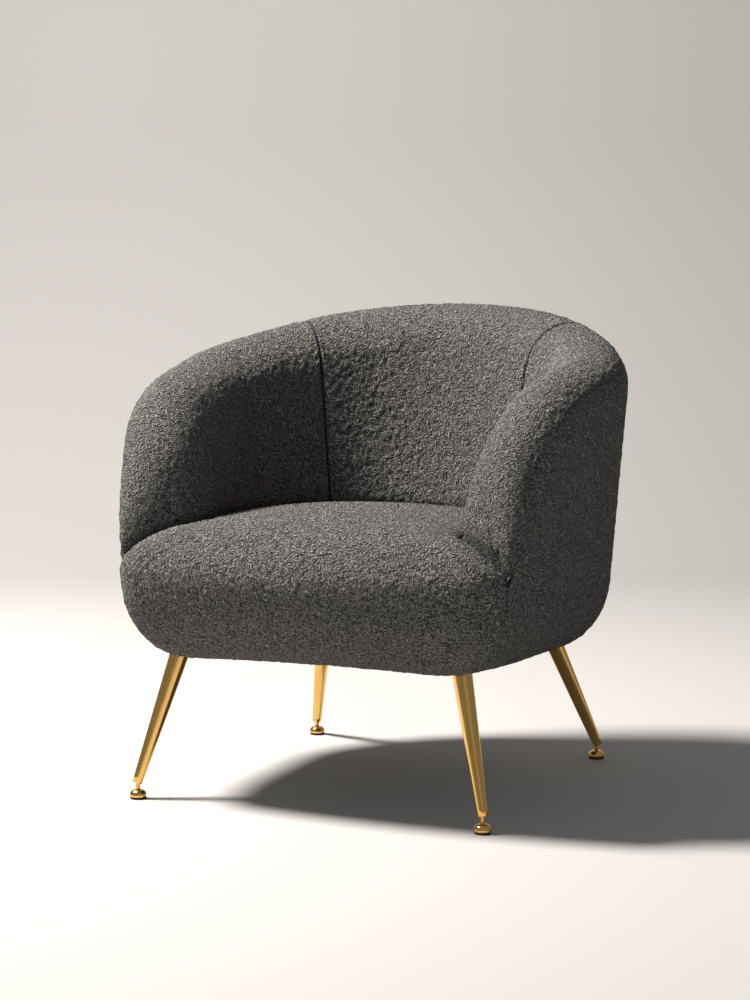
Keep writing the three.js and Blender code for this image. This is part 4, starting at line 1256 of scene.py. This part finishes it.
def grow(piece, tree, **values):
    """Replaces a piece's mesh by what a geometry nodes tree makes of it, its inputs set by identifier."""
    modifier = piece.modifiers.new(tree.name, "NODES")
    modifier.node_group = tree
    for item in tree.interface.items_tree:
        if item.item_type == "SOCKET" and item.in_out == "INPUT" and item.name in values:
            modifier[item.identifier] = values[item.name]
    settle(piece)


def dress_in_cloth(piece):
    """Gives a padded piece its finer cloth, its raised curls and its material."""
    looks = bpy.context.scene.tub_cloth
    piece.data.materials.clear()
    finer = piece.modifiers.new("Finer cloth", "SUBSURF")
    finer.levels = 1
    finer.render_levels = 1
    grow(piece, curl_tree(), Spacing=looks.spacing, Relief=looks.relief, Finish=finish("boucle"))
    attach(piece, "chair")
    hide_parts(piece.name.removesuffix("_cloth"))


class TUBCHAIR_OT_stage(bpy.types.Operator):
    """Sets up the floor, the lamps, the world and the camera"""

    bl_idname = "tub_chair.stage"
    bl_label = "Stage"

    def execute(self, context):
        stage = context.scene.tub_stage
        make_floor(stage)
        make_lamps()
        make_world()
        make_camera(stage)
        context.scene.view_settings.view_transform = "Standard"
        return {"FINISHED"}


def make_floor(stage):
    """A pale floor that sweeps up into a backdrop."""
    half = 6.0
    back = 2.4
    sweep = 1.2
    high = 5.0
    arc_points = 24
    turn = math.radians(24)
    turned = Matrix.Rotation(turn, 4, "Z")
    turns = np.linspace(0, math.pi / 2, arc_points)
    arc = [(back + sweep * math.sin(a), sweep * (1 - math.cos(a))) for a in turns]
    profile = [(-half, 0.0), *arc, (back + sweep, high)]
    points = [turned @ Vector((x, y, z)) for x in (-half, half) for y, z in profile]
    rows = len(profile)
    faces = [(i, rows + i, rows + i + 1, i + 1) for i in range(rows - 1)]
    floor = new_piece("floor", points, faces)
    material, _, shader = material_with_shader("pale_floor")
    shader.inputs["Base Color"].default_value = opaque(stage.floor)
    shader.inputs["Roughness"].default_value = 0.9
    floor.data.materials.append(material)


def make_lamps():
    """A large warm lamp high on the left and a weak one on the right."""
    aim = Vector((0, 0, 0.4))
    lamps = {
        "key": ((-1.9, -0.6, 3.3), 0.8, 380, (1.0, 0.96, 0.91)),
        "fill": ((2.6, -3.0, 1.8), 2.4, 2, (1.0, 0.98, 0.96)),
    }
    for name, (place, size, power, tint) in lamps.items():
        lamp = bpy.data.lights.new(name, "AREA")
        lamp.shape = "DISK"
        lamp.size = size
        lamp.energy = power
        lamp.color = tint
        holder = bpy.data.objects.new(name, lamp)
        holder.location = place
        holder.rotation_euler = (aim - Vector(place)).to_track_quat("-Z", "Y").to_euler()
        bpy.context.scene.collection.objects.link(holder)


def make_world():
    """An even pale surround."""
    world = bpy.data.worlds.new("surround")
    bpy.context.scene.world = world
    world.use_nodes = True
    background = world.node_tree.nodes["Background"]
    background.inputs["Color"].default_value = opaque((1, 1, 1))
    background.inputs["Strength"].default_value = 0.24


def make_camera(stage):
    """The camera at the photograph's angle."""
    az = stage.azimuth
    el = stage.elevation
    back = Vector((math.sin(az) * math.cos(el), -math.cos(az) * math.cos(el), math.sin(el)))
    right = Vector((math.cos(az), math.sin(az), 0))
    up = back.cross(right)
    shift_y = barrel_now().shift_y
    target = Vector((0, shift_y, stage.target_height)) + right * stage.target_right + up * stage.target_up
    data = bpy.data.cameras.new("camera")
    data.sensor_width = 36
    data.lens = stage.lens
    camera = bpy.data.objects.new("camera", data)
    turned = Matrix((right, up, back)).transposed().to_4x4()
    camera.matrix_world = Matrix.Translation(target + back * stage.distance) @ turned
    bpy.context.scene.collection.objects.link(camera)
    bpy.context.scene.camera = camera


class TUBCHAIR_OT_upholstery(bpy.types.Operator):
    """Makes the inside pads, the outside cover and the seat"""

    bl_idname = "tub_chair.upholstery"
    bl_label = "Upholstery"

    def execute(self, context):
        barrel = barrel_now()
        seam = barrel.b.panel_seam
        gap = barrel.p.gap / 2
        front = barrel.arm_station - barrel.p.gap
        blank = seat_blank(barrel)
        pads = [
            make_pad(barrel, blank, "inside_arm_left_cloth", -front, -seam - gap, [-seam - gap]),
            make_pad(barrel, blank, "inside_back_cloth", -seam + gap, seam - gap, [-seam + gap, seam - gap]),
            make_pad(barrel, blank, "inside_arm_right_cloth", seam + gap, front, [seam + gap]),
        ]
        cover = make_cover(barrel, "outside_cover_cloth")
        seat = make_seat(barrel, blank)
        seat.name = "seat_cloth"
        bpy.data.objects.remove(blank)
        for piece in (*pads, cover, seat):
            dress_in_cloth(piece)
        return {"FINISHED"}


def lathe(name, profile, sides, matrix):
    """A turned body about the Z axis from a closed profile of (radius, height), put in place by a matrix."""
    profile = np.asarray(profile)
    angles = np.linspace(0, 2 * math.pi, sides, endpoint=False)
    radius = profile[:, 0]
    height = profile[:, 1]
    loops = np.stack(
        [
            np.outer(np.cos(angles), radius),
            np.outer(np.sin(angles), radius),
            np.broadcast_to(height, (sides, len(profile))),
        ],
        axis=-1,
    )
    around = len(profile)
    faces = []
    for i in range(sides):
        here = i * around
        there = (i + 1) % sides * around
        for j in range(around):
            k = (j + 1) % around
            faces.append((here + j, there + j, there + k, here + k))
    piece = new_piece(name, loops, faces)
    piece.data.transform(matrix)
    tidy(piece, merge=1e-6)
    return piece


def leg_axis(context, name):
    """A leg's lower end, its direction and its length up to the hem's height."""
    scene = context.scene
    barrel = barrel_now()
    legs = scene.tub_leg
    b = scene.tub_barrel
    hand = -1 if name.endswith("left") else 1
    foot = middle_of("foot_pad_" + name)
    if name.startswith("front"):
        side, top_y = legs.front_top_side, legs.front_top_end - b.nose_depth
    else:
        side, top_y = legs.rear_top_side, b.back_depth - legs.rear_top_end
    crossing = Vector((foot[0], foot[1], legs.end_height + legs.crossing))
    high = Vector((hand * (b.half_width - side), top_y + barrel.shift_y, b.underside))
    along = (high - crossing).normalized()
    end = crossing + along * ((legs.end_height - crossing.z) / along.z)
    return end, along, (high - end).length


def leg_profile(legs, whole):
    """The tube's section as pairs of radius and height, from its lower end up into the seat frame."""
    rows = 24
    wall = legs.wall
    edge = legs.edge
    top_run = whole + legs.top_extra
    bottom_radius = legs.bottom_diameter / 2
    top_radius = lerp(bottom_radius, legs.top_diameter / 2, top_run / whole)
    bore = bottom_radius - wall
    profile = [(bore, edge), (bore + edge, 0.0), (bottom_radius - edge, 0.0), (bottom_radius, edge)]
    for t in np.linspace(0, 1, rows)[1:]:
        profile.append((lerp(bottom_radius, top_radius, t), lerp(edge, top_run, t)))
    return [*profile, (top_radius - wall, top_run)]


class TUBCHAIR_OT_legs(bpy.types.Operator):
    """Makes the four tapered legs"""

    bl_idname = "tub_chair.legs"
    bl_label = "Legs"

    def execute(self, context):
        sides = 72
        for name in corners:
            end, along, whole = leg_axis(context, name)
            profile = leg_profile(context.scene.tub_leg, whole)
            matrix = Matrix.Translation(end) @ along.to_track_quat("Z", "Y").to_matrix().to_4x4()
            piece = lathe("leg_" + name + "_tube", profile, sides, matrix)
            hand_over(piece, "polished_gold", "chair", "leg_" + name)
        return {"FINISHED"}


def bell_profile(foot, bottom, hole):
    """The bell's section as pairs of radius and height, with the hole for its stud."""
    arc_points = 20
    rim = foot.diameter / 2
    neck = foot.neck / 2
    top = bottom + foot.bell_height
    shoulder = bottom + foot.bell_edge
    rounding = foot.bell_rounding
    cut = rounding / 3
    profile = [(0, bottom), (rim - rounding, bottom), (rim - cut, bottom + cut), (rim, bottom + rounding)]
    for a in np.linspace(0, math.pi / 2, arc_points):
        profile.append((lerp(neck, rim, math.cos(a)), lerp(shoulder, top, math.sin(a))))
    floor = top - foot.hole_depth
    return [*profile, (hole, top), (hole, floor), (0, floor)]


def disc_profile(radius, low, high, low_edge, high_edge):
    """A round body's section as pairs of radius and height, with both of its edges taken off."""
    return [
        (0, low),
        (radius - low_edge, low),
        (radius, low + low_edge),
        (radius, high - high_edge),
        (radius - high_edge, high),
        (0, high),
    ]


class TUBCHAIR_OT_feet(bpy.types.Operator):
    """Makes the bells, glide pads and studs of the levelling feet"""

    bl_idname = "tub_chair.feet"
    bl_label = "Feet"

    def execute(self, context):
        foot = context.scene.tub_foot
        gap = context.scene.tub_padding.gap
        sides = 64
        stud_sides = 48
        radius = foot.stud / 2
        pad_radius = foot.diameter / 2 - foot.pad_inset
        bell = bell_profile(foot, foot.pad_height + gap, radius + gap)
        disc = disc_profile(pad_radius, 0, foot.pad_height, foot.pad_rounding, foot.edge)
        for name in corners:
            x, y, _ = middle_of("foot_pad_" + name)
            place = Matrix.Translation((x, y, 0))
            dome = lathe("foot_dome_" + name + "_bell", bell, sides, place)
            hand_over(dome, "polished_gold", "glide_" + name, "foot_dome_" + name)
            pad = lathe("foot_pad_" + name + "_disc", disc, sides, place)
            hand_over(pad, "glide_pad", "glide_" + name, "foot_pad_" + name)
            low, high = (float(v[2]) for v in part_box("foot_stud_" + name))
            shank = disc_profile(radius, low, high, foot.edge, foot.edge)
            stud = lathe("foot_stud_" + name + "_neck", shank, stud_sides, place)
            hand_over(stud, "polished_gold", "stud_" + name, "foot_stud_" + name)
        return {"FINISHED"}


def make_band(barrel, sizes, number):
    """One woven band up the back, and its length along its face."""
    pads = barrel.p
    points_up = 60
    points_across = 14
    middle = (number - (sizes.band_count + 1) / 2) * sizes.band_spacing
    across = middle + sizes.band_width * (np.linspace(0, 1, points_across) - 0.5)
    low = pads.bottom + sizes.band_rise
    top = barrel.rim(across) - pads.top_thickness - sizes.band_drop
    z = lerp(low, top[:, None], np.linspace(0, 1, points_up)[None, :])
    near = barrel.hollow_offset(across[:, None], z) + pads.gap
    inner = barrel.place(across[:, None], near, z)
    outer = barrel.place(across[:, None], near + sizes.band_thickness, z)
    loops = np.concatenate([inner, outer[:, ::-1]], axis=1)
    along = np.diff(inner[points_across // 2], axis=0)
    return closed_tube("webbing_" + str(number) + "_band", loops), float(np.linalg.norm(along, axis=1).sum())


class TUBCHAIR_OT_bands(bpy.types.Operator):
    """Makes the woven bands up the back"""

    bl_idname = "tub_chair.bands"
    bl_label = "Bands"

    def execute(self, context):
        sizes = context.scene.tub_hidden
        barrel = barrel_now()
        for number in range(1, sizes.band_count + 1):
            piece, long = make_band(barrel, sizes, number)
            hand_over(piece, "webbing", "chair", "webbing_" + str(number))
        return {"FINISHED"}


def lining_ring(barrel, inset, step):
    """Plan points of the thin cloth's outline, moved inwards by an inset."""
    b = barrel.b
    x, y, nx, ny = barrel.closed_outline(step)
    inside = b.hem_tuck + barrel.p.lip - bpy.context.scene.tub_hidden.lining_lap + inset
    offset = barrel.face_lean(ny, b.underside + b.hem_rise) - inside
    return x + nx * offset, y + ny * offset + barrel.shift_y


def staple_tree():
    """Geometry nodes that set staples along a closed line at even distances."""
    tree, nodes, inputs, outputs = geometry_tree("Staples", "Spacing", "Length", "Wire")
    given = inputs.outputs
    line = nodes.add("GeometryNodeMeshToCurve", {"Mesh": given["Geometry"]})
    feeds = {"Curve": line.outputs["Curve"], "Length": given["Spacing"]}
    even = nodes.add("GeometryNodeResampleCurve", feeds, mode="LENGTH")
    size = nodes.add("ShaderNodeCombineXYZ", {"X": given["Length"], "Y": given["Wire"], "Z": given["Wire"]})
    bar = nodes.add("GeometryNodeMeshCube", {"Size": size.outputs["Vector"]})
    tangent = nodes.add("GeometryNodeInputTangent").outputs["Tangent"]
    turned = nodes.add("FunctionNodeAlignRotationToVector", {"Vector": tangent}, axis="X", pivot_axis="Z")
    placed = nodes.add("GeometryNodeInstanceOnPoints", {
        "Points": even.outputs["Curve"],
        "Instance": bar.outputs["Mesh"],
        "Rotation": turned.outputs["Rotation"],
    })
    end_tree(nodes, placed.outputs["Instances"], inputs, outputs)
    return tree


def end_tree(nodes, made, inputs, outputs):
    """Realizes what a tree has made and gives it its material."""
    realize = nodes.add("GeometryNodeRealizeInstances", {"Geometry": made})
    feeds = {"Geometry": realize.outputs["Geometry"], "Material": inputs.outputs["Finish"]}
    dress = nodes.add("GeometryNodeSetMaterial", feeds)
    nodes.link(dress.outputs["Geometry"], outputs.inputs["Geometry"])


def make_lining(sizes, outline, top):
    """The thin cloth under the chair, sagging a little towards its middle."""
    ring_count = 30
    x, y = outline
    middle_y = (y.min() + y.max()) / 2
    heights = (top, top - sizes.lining_thickness)
    upper, lower = [], []
    for rings, height in zip((upper, lower), heights):
        for near in np.linspace(1, 0, ring_count)[:-1]:
            sag = sizes.lining_sag * (1 - near * near)
            points = [near * x, lerp(middle_y, y, near), np.full(x.shape, height - sag)]
            rings.append(np.stack(points, axis=-1))
    tips = [(0, middle_y, height - sizes.lining_sag) for height in heights]
    return puck("dust_cloth_sheet", [*lower[::-1], *upper], *tips)


def make_staples(barrel, sizes, step, height):
    """The staples along the thin cloth's edge."""
    x, y = lining_ring(barrel, sizes.staple_inset, step)
    around = len(x)
    places = np.stack([x, y, np.full(x.shape, height)], axis=-1)
    mesh = bpy.data.meshes.new("staples")
    mesh.from_pydata(places.tolist(), [(i, (i + 1) % around) for i in range(around)], [])
    staples = bpy.data.objects.new("staples", mesh)
    bpy.context.scene.collection.objects.link(staples)
    values = {"Spacing": sizes.staple_spacing, "Length": sizes.staple_length, "Wire": sizes.staple_wire}
    grow(staples, staple_tree(), Finish=finish("zinc_steel"), **values)
    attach(staples, "chair")


class TUBCHAIR_OT_lining(bpy.types.Operator):
    """Makes the thin cloth under the chair and the staples along its edge"""

    bl_idname = "tub_chair.lining"
    bl_label = "Lining"

    def execute(self, context):
        sizes = context.scene.tub_hidden
        barrel = barrel_now()
        step = 2 * surface_step
        top = barrel.b.underside - barrel.p.gap
        x, y = lining_ring(barrel, 0, step)
        piece = make_lining(sizes, (x, y), top)
        hand_over(piece, "lining", "chair", "dust_cloth")
        make_staples(barrel, sizes, step, top - sizes.lining_thickness - sizes.staple_wire / 2)
        return {"FINISHED"}


def thread_tree():
    """Geometry nodes that wind a thread's crest as a ridge about the Z axis."""
    steps_around = 32
    ridge_sides = 6
    tree, nodes, inputs, outputs = geometry_tree("Thread", "Turns", "Radius", "Height", "Ridge")
    given = inputs.outputs
    spiral = nodes.add("GeometryNodeCurveSpiral", {
        "Resolution": steps_around,
        "Rotations": given["Turns"],
        "Start Radius": given["Radius"],
        "End Radius": given["Radius"],
        "Height": given["Height"],
    })
    feeds = {"Resolution": ridge_sides, "Radius": given["Ridge"]}
    ridge = nodes.add("GeometryNodeCurvePrimitiveCircle", feeds)
    swept = nodes.add("GeometryNodeCurveToMesh", {
        "Curve": spiral.outputs["Curve"],
        "Profile Curve": ridge.outputs["Curve"],
        "Fill Caps": True,
    })
    end_tree(nodes, swept.outputs["Mesh"], inputs, outputs)
    return tree


class TUBCHAIR_OT_threads(bpy.types.Operator):
    """Winds the threads of the four studs"""

    bl_idname = "tub_chair.threads"
    bl_label = "Threads"

    def execute(self, context):
        foot = context.scene.tub_foot
        tree = thread_tree()
        run = foot.thread_turns * foot.pitch
        start = foot.pad_height + context.scene.tub_padding.gap + foot.bell_height + foot.pitch
        for name in corners:
            x, y, _ = middle_of("foot_pad_" + name)
            piece = bpy.data.objects.new("foot_thread_" + name, bpy.data.meshes.new("thread"))
            context.scene.collection.objects.link(piece)
            values = {"Turns": float(foot.thread_turns), "Radius": foot.stud / 2, "Height": run}
            grow(piece, tree, Ridge=foot.pitch * foot.ridge, Finish=finish("polished_gold"), **values)
            piece.data.transform(Matrix.Translation((x, y, start)))
            piece.data.shade_smooth()
            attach(piece, "stud_" + name)
        return {"FINISHED"}


class TUBCHAIR_OT_frame_finishes(bpy.types.Operator):
    """Gives the frame's own nodes their materials"""

    bl_idname = "tub_chair.frame_finishes"
    bl_label = "Frame finishes"

    def execute(self, context):
        for node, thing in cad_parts.items():
            look = look_of(node)
            if look is not None:
                thing.data.materials.clear()
                thing.data.materials.append(finish(look))
        return {"FINISHED"}


def look_of(node):
    """The finish of a frame node that stays in sight, or None; wood is named by the way its grain runs."""
    if node == "barrel_board":
        return "fibreboard"
    if node.startswith("spring"):
        return "spring_steel"
    if node.startswith(("leg_plate", "leg_bolt", "foot_plug")):
        return "zinc_steel"
    if "post" in node:
        return "beech_upright"
    if node.startswith(("side_rail", "arm_rail")):
        return "beech_lengthwise"
    if "rail" in node or "block" in node:
        return "beech_crosswise"
    return None


class TUBCHAIR_PT_sidebar(bpy.types.Panel):
    """Lists the steps that dress the chair, and its main sizes"""

    bl_idname = "TUBCHAIR_PT_sidebar"
    bl_label = "Tub chair"
    bl_space_type = "VIEW_3D"
    bl_region_type = "UI"
    bl_category = "Tub chair"

    def draw(self, context):
        for step in steps:
            self.layout.operator(step.bl_idname)
        for group in groups:
            settings = getattr(context.scene, group)
            for key in settings.__annotations__:
                self.layout.prop(settings, key)


groups = {
    "tub_barrel": BarrelSizes,
    "tub_padding": PaddingSizes,
    "tub_seat": SeatSizes,
    "tub_leg": LegSizes,
    "tub_foot": FootSizes,
    "tub_hidden": HiddenSizes,
    "tub_cloth": ClothLooks,
    "tub_stage": StageSizes,
}
steps = (
    TUBCHAIR_OT_stage,
    TUBCHAIR_OT_upholstery,
    TUBCHAIR_OT_legs,
    TUBCHAIR_OT_feet,
    TUBCHAIR_OT_threads,
    TUBCHAIR_OT_bands,
    TUBCHAIR_OT_lining,
    TUBCHAIR_OT_frame_finishes,
)


def register():
    for group in groups.values():
        bpy.utils.register_class(group)
    for name, group in groups.items():
        setattr(bpy.types.Scene, name, PointerProperty(type=group))
    for step in steps:
        bpy.utils.register_class(step)
    bpy.utils.register_class(TUBCHAIR_PT_sidebar)


def unregister():
    bpy.utils.unregister_class(TUBCHAIR_PT_sidebar)
    for step in reversed(steps):
        bpy.utils.unregister_class(step)
    for name, group in groups.items():
        delattr(bpy.types.Scene, name)
        bpy.utils.unregister_class(group)


def main():
    register()
    bpy.ops.tub_chair.stage()
    bpy.ops.tub_chair.upholstery()
    bpy.ops.tub_chair.legs()
    bpy.ops.tub_chair.feet()
    bpy.ops.tub_chair.threads()
    bpy.ops.tub_chair.bands()
    bpy.ops.tub_chair.lining()
    bpy.ops.tub_chair.frame_finishes()


if __name__ == "__main__":
    main()
